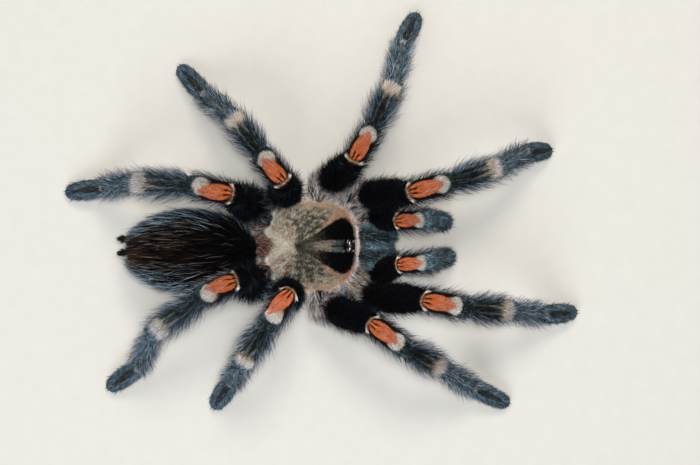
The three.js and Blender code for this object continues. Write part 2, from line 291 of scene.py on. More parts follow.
def rod_surface(name, kind, start, axes, length, radius_at, tallness=1.0, facts=None):
    """A round-ended rod. radius_at gives the radius for a share t of its length."""
    along, across, back = axes
    near, far = float(radius_at(0.0)), float(radius_at(1.0))
    near_cap, far_cap = near * math.pi / 2, far * math.pi / 2
    total = near_cap + length + far_cap

    def profile(u):
        s = u * total
        a = np.clip(s / near, 0, math.pi / 2)
        b = np.clip((s - near_cap - length) / far, 0, math.pi / 2)
        t = np.clip((s - near_cap) / length, 0, 1)
        axial = np.where(s < near_cap, -near * np.cos(a), t * length)
        axial = np.where(s > near_cap + length, length + far * np.sin(b), axial)
        radius = np.where(s < near_cap, near * np.sin(a), radius_at(t))
        return axial, np.where(s > near_cap + length, far * np.cos(b), radius)

    def point(u, v):
        axial, radius = profile(u)
        angle = 2 * math.pi * v
        outward = np.outer(np.cos(angle), back) * tallness + np.outer(np.sin(angle), across)
        return start + np.outer(axial, along) + radius[:, None] * outward

    def inside(p):
        """How deep each point lies in the rod, as a share of its radius: 1 on the axis."""
        offset = p - start
        axial = np.clip(offset @ along, 0, length)
        away = np.linalg.norm(offset - np.outer(axial, along), axis=1)
        return 1 - away / radius_at(axial / length)

    facts = {**(facts or {}), "profile": profile, "length": length, "inside": inside}
    return Surface(name, kind, point, (44, 28), facts)


def limb_surfaces(name):
    """The segments of one limb, from the hip outwards."""
    hip, side, headings, pitches = POSES[name]
    stout = STOUTNESS[hip]
    x, y, z = HIPS[hip]
    joint = np.array([x, side * y, z])
    parts = PALP_PARTS if hip == "palp" else LEG_PARTS
    foot_height = FOOT_SINK * GIRTHS["tarsus"][1] * GIRTHS["tarsus"][3] * stout
    made = []
    for i, (part, length) in enumerate(zip(parts, LENGTHS[hip])):
        if i < len(pitches):
            pitch = pitches[i]
        else:
            pitch = -math.degrees(math.asin((joint[2] - foot_height) / length))
        axes = frame_of(headings[i], pitch)
        near, far, swell, tallness, depth = GIRTHS[part]
        tuck = KNEE_TUCK if part == "femur" else 0.0

        def radius_at(t, near=near, far=far, swell=swell, depth=depth, tuck=tuck):
            full = (near + (far - near) * t + swell * np.sin(math.pi * t)) * stout
            return full - (depth + tuck * smooth(0.7, 1.0, t)) * stout

        facts = {"limb": name, "end": joint + axes[0] * length}
        rod = rod_surface(f"{name}_{part}", part, joint, axes, length, radius_at, tallness, facts)
        made.append(rod)
        joint = joint + axes[0] * length
    return made


def carapace_reach(angle):
    """From the middle of the carapace to its rim: a squarish oval, notched behind."""
    c, s = np.cos(angle), np.sin(angle)
    power = np.where(c > 0, CARAPACE_SQUARENESS["front"], CARAPACE_SQUARENESS["rear"])
    end = np.where(c > 0, CARAPACE_REACH["front"], CARAPACE_REACH["rear"])
    total = np.abs(c / end) ** power + np.abs(s / CARAPACE_REACH["side"]) ** power
    return total ** (-1 / power) - CARAPACE_NOTCH * np.maximum(0, -c) ** 24


def bump(form, x, y):
    """Height of a round swelling at x, y."""
    at, length, width, height = form
    return height * np.exp(-(((x - at) / length) ** 2) - (y / width) ** 2)


# Headings of the shallow grooves that run from the fovea between the legs.
GROOVES = (38, 78, 112, 141)
GROOVE_WIDTH = 0.45
GROOVE_DEPTH = 0.22


def carapace_grooves(x, y):
    """Depth of the radial grooves, 1 at the middle of one."""
    dx, dy = x - FOVEA[0], np.abs(y)
    angle = np.degrees(np.arctan2(dy, dx))
    away = np.hypot(dx, dy)
    depth = sum(
        np.exp(-(((angle - g) * np.radians(1) * away / GROOVE_WIDTH) ** 2)) for g in GROOVES
    )
    return depth * smooth(0.8, 2.5, away) * (1 - smooth(7.0, 9.5, away))


RIM_AT = 0.66  # the u of the carapace's rim


def carapace_point(u, v):
    """Top middle at u = 0, over the rim, and in to the underside's middle at u = 1."""
    angle = 2 * math.pi * v
    share = np.where(u < RIM_AT, u / RIM_AT, (1 - u) / (1 - RIM_AT))
    share = np.clip(share, 0, 1)
    inset = INSETS["carapace"]
    radius = (carapace_reach(angle) - inset) * share
    x, y = radius * np.cos(angle), radius * np.sin(angle)
    forward = np.maximum(0, x / CARAPACE_REACH["front"])
    edge = CARAPACE_RIM + CARAPACE_FRONT_LIFT * forward**2
    dome = CARAPACE_DOME * (1 - share**2.6) * (1 - 0.3 * forward)
    relief = bump(HEAD_SWELL, x, y) + bump(FOVEA, x, y)
    relief = relief - GROOVE_DEPTH * carapace_grooves(x, y)
    top = edge + dome + relief * (1 - share**6) - inset
    under = edge - CARAPACE_LIP - 0.3 * (1 - share)
    return np.stack([x, y, np.where(u < RIM_AT, top, under)], axis=-1)


def abdomen_point(u, v):
    """An egg. In front the hair lies flat, so there the skin is nearer the hair's tips."""
    a = math.pi * u
    front_inset, inset = INSETS["abdomen front"], INSETS["abdomen"]
    depth = front_inset + (inset - front_inset) * smooth(0.0, 0.4, u)
    length = ABDOMEN["length"] - front_inset - inset
    radius = np.sin(a) ** (2 * ABDOMEN_BLUNTNESS)
    x = ABDOMEN["front"] - front_inset - length * (1 - np.cos(a)) / 2
    y = ABDOMEN["middle"][0] + (ABDOMEN["half"][0] - depth) * radius * np.sin(2 * math.pi * v)
    z = ABDOMEN["middle"][1] + (ABDOMEN["half"][1] - depth) * radius * np.cos(2 * math.pi * v)
    return np.stack([x, y, z], axis=-1)


def chelicera_surface(side):
    """The basal segment of a chelicera, from where it comes out under the carapace."""
    c = CHELICERA
    start, end = CHELICERA_START, c["length"] - INSETS["chelicera tip"]
    along, across, back = frame_of(c["heading"] * side, c["pitch"])
    base = np.array([c["base"][0], c["base"][1] * side, c["base"][2]])

    def point(u, v):
        a = math.pi * u
        x = start + (end - start) * (1 - np.cos(a)) / 2
        radius = (c["radius"] - INSETS["chelicera"]) * np.sin(a) ** c["bluntness"]
        y = radius * np.sin(2 * math.pi * v)
        z = radius * c["tallness"] * np.cos(2 * math.pi * v) - c["droop"] * x**2
        return base + np.outer(x, along) + np.outer(y, across) + np.outer(z, back)

    name = "chelicera_L" if side > 0 else "chelicera_R"
    return Surface(name, "chelicera", point, (20, 22), {"side": side})


def sternum_point(u, v):
    """A flat oval shield, its poles in front and behind."""
    a = math.pi * u
    inset, depth = INSETS["sternum edge"], INSETS["sternum"]
    x = STERNUM["centre"][0] + (STERNUM["half"][0] - inset) * np.cos(a)
    y = (STERNUM["half"][1] - inset) * np.sin(a) * np.sin(2 * math.pi * v)
    z = STERNUM["centre"][2] + (STERNUM["half"][2] - depth) * np.sin(a) * np.cos(2 * math.pi * v)
    return np.stack([x, y, z], axis=-1)


def coxa_surface(limb):
    """A coxa with its trochanter, from under the carapace to the hip."""
    hip_name, side, *_ = POSES[limb]
    x, y, z = HIPS[hip_name]
    hip = np.array([x, side * y, z])
    centre = np.array(STERNUM["centre"])
    start = centre + (hip - centre) * COXA["start"]
    length = float(np.linalg.norm(hip - start))
    heading = math.degrees(math.atan2(hip[1] - start[1], hip[0] - start[0]))
    pitch = math.degrees(math.asin((hip[2] - start[2]) / length))

    def radius_at(t):
        return COXA["near"] + (COXA["far"] - COXA["near"]) * t - INSETS["coxa"]

    axes = frame_of(heading, pitch)
    return rod_surface(f"coxa_{limb}", "coxa", start, axes, length, radius_at)


def spinneret_surface(side):
    """Three ringed joints that narrow to the tip."""
    s = SPINNERET
    base = np.array([s["base"][0], s["base"][1] * side, s["base"][2]])
    axes = frame_of(s["heading"] * side, s["pitch"])

    def radius_at(t):
        rings = 0.09 * np.cos(2 * math.pi * 3 * np.asarray(t, float))
        return s["radius"] * (1 - 0.4 * np.asarray(t, float)) - INSETS["spinneret"] - rings

    name = "spinneret_L" if side > 0 else "spinneret_R"
    return rod_surface(name, "spinneret", base, axes, s["length"], radius_at)


def pedicel_surface():
    """The waist between carapace and abdomen."""
    start = np.array([PEDICEL["from"], 0.0, PEDICEL["z"]])
    length = PEDICEL["to"] - PEDICEL["from"]

    def radius_at(t):
        return PEDICEL["radius"] + 0 * t

    return rod_surface("pedicel", "pedicel", start, frame_of(0, 0), length, radius_at)


LIMBS = {name: limb_surfaces(name) for name in POSES}
COXAE = {name: coxa_surface(name) for name in POSES}
BODY = {
    "carapace": Surface("carapace", "carapace", carapace_point, (36, 64)),
    "abdomen": Surface("abdomen", "abdomen", abdomen_point, (32, 40)),
    "sternum": Surface("sternum", "sternum", sternum_point, (20, 28)),
    "chelicera_L": chelicera_surface(1),
    "chelicera_R": chelicera_surface(-1),
    "spinneret_L": spinneret_surface(1),
    "spinneret_R": spinneret_surface(-1),
    "pedicel": pedicel_surface(),
}

# ---------------------------------------------------------------- markings


@dataclass
class Places:
    """Places on one surface, with a few random numbers of their own for each.

    phi is how far round from the back a place lies, in degrees, and away is its size. On a rod,
    axial is how far along it the place is, and t is that as a share of the rod's length.
    """

    surface: Surface
    u: np.ndarray
    v: np.ndarray
    rng: object

    def __post_init__(self):
        self.p, self.normal, self.along, _, self.area = self.surface.places(self.u, self.v)
        self.phi = (np.degrees(2 * math.pi * self.v) + 180) % 360 - 180
        self.away = np.abs(self.phi)
        count = len(self.u)
        self.chance = self.rng.random(count)
        self.other = self.rng.random(count)
        self.waver = self.rng.normal(0, 1, count)
        if "profile" in self.surface.facts:
            self.axial, _ = self.surface.facts["profile"](self.u)
            self.t = self.axial / self.surface.facts["length"]


MOTTLE_WAVES = 7
MOTTLE_SPAN = 5.5  # of their sum, which is stretched over the whole range from 0 to 1


def mottle(p, size, seed):
    """Soft blotches about size mm across, from 0 to 1: a few crossed waves."""
    rng = np.random.default_rng(seed)
    total = np.zeros(len(p))
    for _ in range(MOTTLE_WAVES):
        way = rng.normal(0, 1, 3)
        way *= 2 * math.pi / (size * np.linalg.norm(way)) * rng.uniform(0.7, 1.5)
        total += np.sin(p @ way + rng.uniform(0, 2 * math.pi))
    return np.clip(0.5 + total / MOTTLE_SPAN, 0, 1)


def strands(w, dark, bright, share):
    """Mostly dark hairs, with a share of bright ones among them."""
    return mix(dark, bright, (w.other < share) * (0.45 + 0.55 * w.chance))


# How much further than on the other legs the pale hair of the hip runs out along the femur.
HIP_TUFTS = {"leg_L1": 0.06, "leg_L2": 0.13, "leg_R2": 0.11}


def femur_tint(w):
    """Velvet black, with a pale tuft at the hip."""
    shade = strands(w, VELVET_BLACK, BLUE_BLACK, 0.25)
    reach = HIP_TUFTS.get(w.surface.facts["limb"], 0.0)
    at_hip = 1 - smooth(reach - 0.02, reach + 0.10, w.t + 0.03 * w.waver)
    tuft = mix(mix(SLATE, LILAC, w.chance), TAN, w.other > 0.7)
    return mix(shade, tuft, at_hip * (w.chance > 0.35 - reach))


# A knee's markings run from a collar near the joint to a cap short of its far end. For each
# limb: how far behind the joint the collar is, how far the markings are rolled, and how far
# the orange leans to one side of the cap towards its tip, in degrees.
KNEES = {
    "palp_L": (0.9, 0, 0),
    "palp_R": (0.9, 0, 0),
    "leg_L1": (0.65, 4, 0),
    "leg_R1": (0.1, 0, 0),
    "leg_L2": (0.9, 4, 0),
    "leg_R2": (0.55, 0, 0),
    "leg_L3": (0.9, 0, 10),
    "leg_R3": (0.65, -16, -14),
    "leg_L4": (0.35, 2, 16),
    "leg_R4": (0.0, -18, -14),
}
CAP_END = 0.95


def knee_run(w):
    """0 at the collar's middle, 1 at the cap's far edge."""
    length = w.surface.facts["length"]
    back, *_ = KNEES[w.surface.facts["limb"]]
    return (w.axial + back) / (CAP_END * length + back)


def rolled(w, lean_share=0.0):
    """Degrees away from the middle of a knee's markings."""
    _, roll, lean = KNEES[w.surface.facts["limb"]]
    return np.abs((w.phi - roll - lean * lean_share + 180) % 360 - 180)


def collar_bow(away):
    """How far the collar's corners lie ahead of its middle, as a share of the run."""
    return 0.12 * (away / 80) ** 2


def patella_tint(w):
    """The knee: an orange spindle with two thin lines, from a pale collar to a cream cap."""
    run = knee_run(w) + 0.010 * w.waver
    away = rolled(w)
    shade = patella_side(w)
    # The cream cap over the far end, with a bay where the orange runs into it.
    off_cap = rolled(w, -1.0)
    reach_back = 0.56 + 0.30 * (off_cap / 78) ** 2
    cap = smooth(reach_back - 0.03, reach_back + 0.06, run + 0.03 * w.waver)
    cap = cap * (1 - smooth(60, 84, off_cap + 8 * w.waver))
    cream = mix(mix(CREAM, BONE, w.chance), ASH, 0.8 * (w.other > 0.5))
    shade = mix(shade, mix(cream, TAN, 0.65 * smooth(0.80, 0.60, run)), cap)
    # The orange spindle on the back, blunt behind and pointed in front.
    share = np.clip((run - 0.05) / 0.80, 0, 1)
    half = 50 * share**0.45 * (1 - share) ** 0.75 / 0.452
    off_middle = rolled(w, 2 * share - 0.6)
    orange = smooth(-2, 2, half - off_middle) * (share > 0) * (share < 1)
    glow = mix(KNEE_DEEP, KNEE_PALE, w.chance)
    shade = mix(shade, mix(KNEE_ORANGE, glow, 0.75), orange)
    # Two thin lines along it, and the black fork where they start.
    line_at = 0.40 * half
    line = np.exp(-(((off_middle - line_at) / 3.4) ** 4)) * band(0.02, 0.92, share, 0.04)
    line_tint = mix(KNEE_LINE, LILAC, smooth(0.2, 0.5, share) * (0.3 + 0.5 * (w.other > 0.4)))
    shade = mix(shade, line_tint, line)
    fork = np.exp(-(((off_middle - 12) / 5.0) ** 2)) * smooth(0.32, 0.16, share)
    shade = mix(shade, VELVET_BLACK, smooth(0.3, 0.6, fork))
    # The collar round the near end, its corners a little further on.
    along = run - collar_bow(away)
    corner = smooth(36, 66, away)
    collar = smooth(0.045, 0.025, along - 0.03 * corner) * (1 - smooth(72, 80, away))
    pale = mix(mix(BROWN, TAN, w.chance), BONE, 0.85 * corner)
    shade = mix(shade, pale, collar * (along > -0.02))
    shade = mix(shade, VELVET_BLACK, smooth(-0.01, -0.025, along))
    # Past the cap it is already the next segment's colour.
    beyond = palp_end_tint(w) if w.surface.name.startswith("palp") else tibia_base(w)
    return mix(shade, beyond, smooth(0.965, 1.0, run + 0.24 * (off_cap / 80) ** 2))


def patella_side(w):
    """The ground that a knee's markings stand on."""
    return strands(w, BLUE_BLACK, SLATE, 0.35 * smooth(40, 90, w.away))


def rear_leg(w):
    """The last pair of legs is greyer."""
    return 1.0 * w.surface.name.startswith(("leg_L4", "leg_R4"))


def tibia_middle(w):
    """Green-black along the back."""
    grey = 0.35 + 0.45 * rear_leg(w)
    ashy = w.chance > 0.93 - 0.05 * rear_leg(w)
    return mix(strands(w, GREEN_BLACK, SLATE, grey), ASH, 0.35 * ashy)


def tibia_side(w):
    """Black hair and a steel-blue painted sheen on it, mixed, with some ashy hairs."""
    shade = strands(w, BLUE_BLACK, STEEL_BLUE_SHEEN, 0.5 + 0.2 * rear_leg(w))
    return mix(shade, ASH, 0.7 * (w.chance > 0.88))


def tibia_base(w):
    return mix(tibia_middle(w), tibia_side(w), smooth(30, 70, w.away + 10 * w.waver))


def metatarsus_side(w):
    """Mostly pale steel painted sheen, over slate."""
    shade = strands(w, SLATE, PALE_STEEL_SHEEN, 0.62)
    shade = mix(shade, BLUE_BLACK, 0.9 * (w.chance < 0.2))
    return mix(shade, ASH, 0.6 * (w.chance > 0.92))


def tarsus_side(w):
    """Steel-blue painted sheen, over slate."""
    shade = mix(strands(w, SLATE, STEEL_BLUE_SHEEN, 0.9), BLUE_BLACK, 0.8 * (w.chance < 0.12))
    return mix(shade, mix(PALE_STEEL_SHEEN, ASH, 0.6 * w.other), 0.8 * (w.chance > 0.75))


# How much further back than on the other legs the cream ring lies, as a share of the tibia.
RING_SHIFT = {"leg_R1": 0.05, "leg_R2": 0.08}


def tibia_tint(w):
    """Dark, with two pale lines that join into a cream ring near the far end."""
    shift = RING_SHIFT.get(w.surface.facts["limb"], 0.0)
    t = w.t + shift + 0.012 * w.waver
    shade = tibia_base(w)
    # Two thin pale lines along the back, that spread and join into the ring.
    line_at = 22 - 8 * smooth(0.4, 0.85, t)
    line = np.exp(-(((w.away - line_at) / (3.0 + 9 * smooth(0.35, 0.7, t))) ** 2))
    line = line * (1 - smooth(0.86, 0.94, t)) * (0.25 + 0.75 * smooth(0.1, 0.7, t))
    shade = mix(shade, mix(CREAM, ASH, 0.5), 0.8 * line * (w.other > 0.45))
    ring = smooth(0.64, 0.77, t) * (1 - smooth(78, 100, w.away))
    pale = mix(mix(CREAM, PINK_WHITE, smooth(0.72, 0.90, t)), ASH, 0.3 * w.chance)
    shade = mix(shade, mix(pale, ASH, 0.4 * rear_leg(w)), w.other < ring)
    return mix(shade, metatarsus_side(w), smooth(0.93, 0.95, w.t + shift))


def metatarsus_tint(w):
    """Blue-grey painted sheen, with a pale streak along the back and a white spot at the far end."""
    t = w.t + 0.012 * w.waver
    shade = metatarsus_side(w)
    streak = np.exp(-(((w.away - 6 * (w.phi > 0)) / 6.0) ** 2)) * (1 - smooth(0.6, 0.9, t))
    shade = mix(shade, mix(CREAM, ASH, 0.3), 0.6 * streak * (w.chance > 0.5))
    spot = smooth(0.86, 0.91, t) * (1 - smooth(0.98, 1.0, t)) * (1 - smooth(20, 36, w.away))
    shade = mix(shade, mix(BONE, PINK_WHITE, w.chance), 0.85 * spot)
    return mix(shade, tarsus_side(w), smooth(0.99, 1.01, w.t))


def tarsus_tint(w):
    """Steel-blue painted sheen, with a dark pointed stripe along the back and a paler line in it."""
    t = np.clip(w.t, 0, 1)
    half = 27 * np.clip(t / 0.2 + 0.4, 0, 1) * (1 - 0.85 * t**1.5)
    shade = tarsus_side(w)
    stripe = smooth(-4, 5, half - w.away + 2.5 * w.waver) * (1 - smooth(0.76, 0.90, w.t))
    shade = mix(shade, mix(OLIVE_BLACK, UMBER, 0.6 * w.chance), 0.85 * stripe)
    midline = np.exp(-(((w.away - 5) / 3.0) ** 2)) * band(0.12, 0.75, t, 0.08)
    return mix(shade, mix(UMBER, TAN, 0.6 * w.chance), 0.6 * midline * (w.other > 0.4))


def palp_end_tint(w):
    """The two brushy segments beyond a palp's knee are painted with a steel-blue sheen all over."""
    shade = strands(w, BLUE_BLACK, STEEL_BLUE_SHEEN, 0.75)
    return mix(shade, PALE_STEEL_SHEEN, 0.85 * (w.chance > 0.72))


def coxa_tint(w):
    """Clumps of tan and near-white hair and of steel-blue painted sheen, browner on the last legs and
    dark below.
    """
    clump = mottle(w.p, 1.8, 11)
    behind = smooth(-3.0, -6.5, w.p[:, 0])
    pale = mix(STEEL_BLUE_SHEEN, mix(TAN, BROWN, 0.5 * behind), smooth(0.48, 0.58, clump))
    crest = smooth(0.72, 0.92, w.t) * (1 - 0.6 * behind)
    shade = mix(pale, mix(BONE, LILAC, w.chance), (w.chance > 0.80 - 0.45 * crest) * 0.85)
    dark = smooth(0.40, 0.25, mottle(w.p, 1.1, 13))
    shade = mix(shade, BLUE_BLACK, np.maximum(dark, 0.9 * (w.other > 0.62 - 0.3 * behind)))
    under = smooth(100, 130, w.away)
    return mix(shade, mix(BLUE_BLACK, BROWN, w.chance), 0.8 * under)


WEDGE_BACK = -2.75  # x where the black wedges start
WEDGE_FRONT = 9.05  # and where they end, on the middle line
CORNER_SHARPNESS = 1.7  # of their front corners


def rim_share(w):
    """How far out a place lies, as a share of the carapace's reach that way."""
    x, y = w.p[:, 0], w.p[:, 1]
    return np.hypot(x, y) / carapace_reach(np.arctan2(y, x))


def wedge_gaps(w):
    """How far inside the black wedges' outer, inner and front edges each place lies."""
    x, dy = w.p[:, 0], np.abs(w.p[:, 1])
    back = np.maximum(x - WEDGE_BACK, 0)
    outer_edge = 0.30 * np.minimum(back, 1) + 0.65 * back
    inner_edge = 1.05 * (1 - np.exp(-back / 2.6)) + 0.30 * smooth(5.5, 8.8, x)
    return outer_edge - dy, dy - inner_edge, WEDGE_FRONT - x - 0.0020 * dy**4


def radial_grain(x, y, size, seed):
    """Fine streaks that run out from the fovea, from 0 to 1, about size mm across."""
    heading = np.arctan2(y, x - FOVEA[0])
    away = np.hypot(x - FOVEA[0], y)
    return mottle(np.stack([5.5 * heading, 0.4 * away, 0 * x], axis=-1), size, seed)


def carapace_field(w, grain, fine):
    """Cream behind, gold towards the front and the sides, with dark olive specks and rays."""
    x, dy = w.p[:, 0], np.abs(w.p[:, 1])
    away = np.hypot(x - FOVEA[0], dy)
    heading = np.degrees(np.arctan2(dy, x - FOVEA[0]))
    lobe = smooth(-2.5, -6.5, x - 0.3 * dy)
    shade = mix(mix(GOLD_BEIGE, ASH, 0.5 * w.chance), PALE_BEIGE, lobe)
    sand = 0.25 * grain + 0.75 * fine
    shade = mix(shade, BONE, 0.6 * lobe * smooth(0.5, 0.7, sand))
    gap = smooth(0.42, 0.24, sand)
    shade = mix(shade, OLIVE_GREY, (0.9 - 0.5 * lobe) * gap * (w.other > 0.15))
    # The specks lie over each flank, in streaks that run out from the fovea.
    wave = np.sin(np.radians(heading) * 17 + 2.5 * (mottle(w.p, 3.0, 9) - 0.5) + 0.8)
    streak = 0.5 + 0.5 * wave
    flank = np.exp(-((np.hypot((x + 0.9) / 5.0, (dy - 4.5) / 3.2)) ** 2.4))
    speck = 0.15 * grain + 0.25 * mottle(w.p, 1.3, 3) + 0.60 * fine
    speck = speck + 0.05 * w.waver + 0.12 * (streak - 0.5)
    sparse = 0.74 - 0.35 * flank
    dark = smooth(sparse - 0.06, sparse + 0.06, speck)
    shade = mix(shade, OLIVE_GREY, 0.35 * flank * (w.other > 0.3))
    shade = mix(shade, PALE_BEIGE, 0.4 * flank * smooth(0.38, 0.26, speck))
    olive = mix(OLIVE_BLACK, OLIVE_GREY, 0.2 * w.chance**2)
    shade = mix(shade, olive, 0.95 * dark * smooth(0.03, 0.15, flank))
    # The rays are close to the fovea.
    close = smooth(6.0, 1.5, away)
    shade = mix(shade, OLIVE_GREY, 0.7 * close * smooth(150, 70, heading) * (w.other > 0.35))
    rays = close * smooth(115, 50, heading) * smooth(0.25, 0.5, 0.6 * grain + 0.4 * fine)
    return mix(shade, OLIVE_BLACK, 0.9 * rays)


def carapace_wedges(w, shade, grain):
    """The black wedges, from the fovea to both sides of the eyes, with a rusty border."""
    x = w.p[:, 0]
    outer, inner, ahead = wedge_gaps(w)
    border = np.exp(-(((outer + 0.6) / 0.65) ** 2)) * smooth(0.5, 5.5, x) * smooth(-0.4, 0.3, ahead)
    rusty = mix(RUST, PEACH, 0.35 * w.chance)
    shade = mix(shade, rusty, 0.9 * border * (0.55 + 0.45 * (grain > 0.4)))
    # They have rounded front corners, and break up into streaks towards the fovea.
    sharp = CORNER_SHARPNESS
    inside = -np.logaddexp(-sharp * outer, -sharp * ahead) / sharp
    jitter = 0.10 * w.waver
    wedge = smooth(-0.15, 0.15, inside + 0.06 + jitter) * smooth(-0.1, 0.15, inner + jitter)
    wedge = wedge * (x > WEDGE_BACK)
    solid = smooth(-2.5, 2.5, x + 0.8 * w.waver + 1.5 * (grain - 0.5))
    return mix(shade, mix(OLIVE_BLACK, VELVET_BLACK, solid), wedge * (0.5 + 0.5 * solid))


def carapace_strip(w, shade, fine):
    """Between the wedges a strip, beige in the middle and near the eyes blue-grey, with a steel-blue
    painted sheen.
    """
    x, dy = w.p[:, 0], np.abs(w.p[:, 1])
    _, inner, ahead = wedge_gaps(w)
    middle = smooth(0.12, -0.15, inner) * smooth(-2.2, -0.8, x) * (ahead > 0)
    core = smooth(0.85, 0.45, dy + 0.15 * w.waver) * band(0.6, 4.4, x, 0.8)
    dull = mix(OLIVE_BLACK, OLIVE_GREY, w.other)
    lane = mix(dull, mix(TAN, ASH, 0.6 * w.chance), 0.05 + 0.65 * core * (fine > 0.35))
    cool = smooth(3.4, 5.0, x)
    lane = mix(lane, mix(STEEL_BLUE_SHEEN, SLATE, w.chance), 0.8 * cool)
    lane = mix(lane, VELVET_BLACK, 0.9 * smooth(4.4, 6.0, x) * (w.other < 0.5))
    shade = mix(shade, lane, 0.97 * middle)
    line = smooth(0.24, 0.12, dy) * band(3.4, 7.0, x, 0.25)
    shade = mix(shade, VELVET_BLACK, line)
    # The fovea is darkened as painted shade in its pit.
    pit = np.exp(-(((x - FOVEA[0] - 0.3) / 0.8) ** 2) - (dy / 0.85) ** 2)
    return mix(shade, OLIVE_BLACK, 0.95 * pit)


def carapace_rim(w, shade):
    """Rust at the front corners, peach then white across the front, and a pale lip behind."""
    x, y = w.p[:, 0], w.p[:, 1]
    share = rim_share(w)
    *_, ahead = wedge_gaps(w)
    front = smooth(0.05, -0.12, ahead)
    corner = smooth(3.2, 5.0, np.abs(y))
    rusty = mix(RUST, PEACH, 0.3 * w.chance)
    peach = mix(mix(PEACH, PINK_WHITE, w.chance), rusty, 0.9 * corner)
    shade = mix(shade, peach, front * smooth(5.5, 7.0, x))
    white = smooth(0.895, 0.93, share - 0.045 * corner) * smooth(6.0, 8.0, x)
    shade = mix(shade, 1.2 * mix(PINK_WHITE, LILAC, 0.4 * w.chance), white * (1 - 0.5 * corner))
    around_eyes = np.hypot((x - EYE_MOUND["at"][0]) / 1.6, y / 1.75)
    shade = mix(shade, VELVET_BLACK, smooth(1.06, 0.96, around_eyes) * (ahead > -0.1))
    behind = smooth(-5.5, -8.0, x)
    shade = mix(shade, BONE, 0.6 * band(0.86, 0.97, share, 0.02) * behind)
    edge = smooth(0.975, 0.985, share + 0.008 * w.waver) * behind
    return mix(shade, mix(mix(BROWN, RUST, 0.3), PEACH, 0.3 * (w.chance > 0.7)), edge)


def carapace_tint(w):
    """The carapace's field, then its side rim, wedges, strip, grooves and rim over it."""
    x, y = w.p[:, 0], w.p[:, 1]
    grain = radial_grain(x, y, 0.5, 31)
    fine = 0.6 * mottle(w.p, 0.34, 5) + 0.4 * mottle(w.p, 0.22, 6)
    shade = carapace_field(w, grain, fine)
    # Gold and peach along the side rim.
    side_rim = band(0.82, 1.0, rim_share(w), 0.06) * smooth(-7.5, -3.5, x)
    rim_tint = mix(mix(PEACH, GOLD_BEIGE, w.chance), RUST, 0.5 * (fine < 0.42))
    shade = mix(shade, rim_tint, 0.7 * side_rim * (w.other > 0.2))
    shade = carapace_wedges(w, shade, grain)
    shade = carapace_strip(w, shade, fine)
    # Faint russet along the grooves behind.
    shade = mix(shade, RUST, 0.45 * np.clip(carapace_grooves(x, y), 0, 1) * smooth(-3, -5, x))
    return carapace_rim(w, shade)


def abdomen_tint(w):
    """Near black, with a brown patch on the back in the rear and greyer low down."""
    shade = strands(w, VELVET_BLACK, UMBER_BLACK, 0.2)
    patch = mottle(w.p, 3.0, 21)
    rear = band(0.70, 0.84, w.u, 0.05) * smooth(50, 25, w.away) * smooth(0.3, 0.55, patch)
    shade = mix(shade, mix(BROWN, RUST, 0.2 * w.chance), 0.5 * rear * (w.other > 0.4))
    low = smooth(60, 110, w.away)
    return mix(shade, SLATE, 0.4 * low * w.chance)


TEAL = np.array((0.92, 1.02, 1.0))  # the painted sheen on the chelicerae is greener than the steel blue


def chelicera_tint(w):
    """Pale teal painted sheen, with a dark olive band of painted shade along the top of each."""
    side = w.surface.facts["side"]
    x, y = w.p[:, 0], w.p[:, 1] * side
    # Pale teal painted sheen, strongest on the outer side, where the hair is seen at a slant.
    shade = mix(strands(w, BLUE_BLACK, PALE_STEEL_SHEEN, 0.8), STEEL_BLUE_SHEEN, 0.3)
    shade = mix(shade, 1.15 * PALE_STEEL_SHEEN, 0.8 * (w.chance > 0.80 - 0.35 * smooth(3.8, 4.6, y)))
    shade = shade * TEAL
    # The band is painted shade, where the view looks down between the hairs onto the ridge. It is
    # wide at the base and narrow in front, and that of the right one narrows sooner.
    run = (x - 9.5) / 7.0
    narrowing = 0.60 if side > 0 else 0.80
    half = 1.60 * (1 - narrowing * smooth(0.0, 1.0, run))
    off = np.abs(y - (2.25 - 0.7 * run))
    dark = smooth(0.35, -0.35, off - half + 0.3 * w.waver) * (1 - smooth(0.8, 1.05, run))
    fleck = w.chance > 0.86
    olive = 0.7 * mix(OLIVE_BLACK, SLATE, 0.15 * w.other)
    shade = mix(shade, olive, (0.97 - 0.35 * fleck) * dark * smooth(110, 80, w.away))
    # Painted shade in the cleft between the two chelicerae.
    shade_between = smooth(0.30, 0.12, y) * smooth(0.25, 0.45, run)
    shade = mix(shade, BLUE_BLACK, shade_between)
    return mix(shade, BLUE_BLACK, 0.7 * smooth(95, 130, w.away))


def underside_tint(w):
    """Brown and slate hairs among blue-black ones."""
    return mix(mix(BLUE_BLACK, BROWN, 0.5 * w.chance), SLATE, 0.3 * w.other)


def spinneret_tint(w):
    """Black, with umber hairs."""
    return mix(VELVET_BLACK, UMBER, 0.6 * w.chance)


def pedicel_tint(w):
    """Black to brown."""
    return mix(UMBER_BLACK, mix(UMBER, BROWN, 0.5), w.chance)


# The markings of each kind of surface, and the colours of the loose hair at a limb's sides.
TINTS = {
    "femur": femur_tint,
    "patella": patella_tint,
    "tibia": tibia_tint,
    "metatarsus": metatarsus_tint,
    "tarsus": tarsus_tint,
    "coxa": coxa_tint,
    "carapace": carapace_tint,
    "abdomen": abdomen_tint,
    "chelicera": chelicera_tint,
    "sternum": underside_tint,
    "spinneret": spinneret_tint,
    "pedicel": pedicel_tint,
}
SIDE_TINTS = {
    "femur": femur_tint,
    "patella": patella_side,
    "tibia": tibia_side,
    "metatarsus": metatarsus_side,
    "tarsus": tarsus_side,
}


def is_brushy(surface):
    """The two segments beyond a palp's knee are brushy all round."""
    return surface.name.startswith("palp") and surface.kind in ("tibia", "tarsus")


def tint_of(w):
    return palp_end_tint(w) if is_brushy(w.surface) else TINTS[w.surface.kind](w)


# ---------------------------------------------------------------- hair


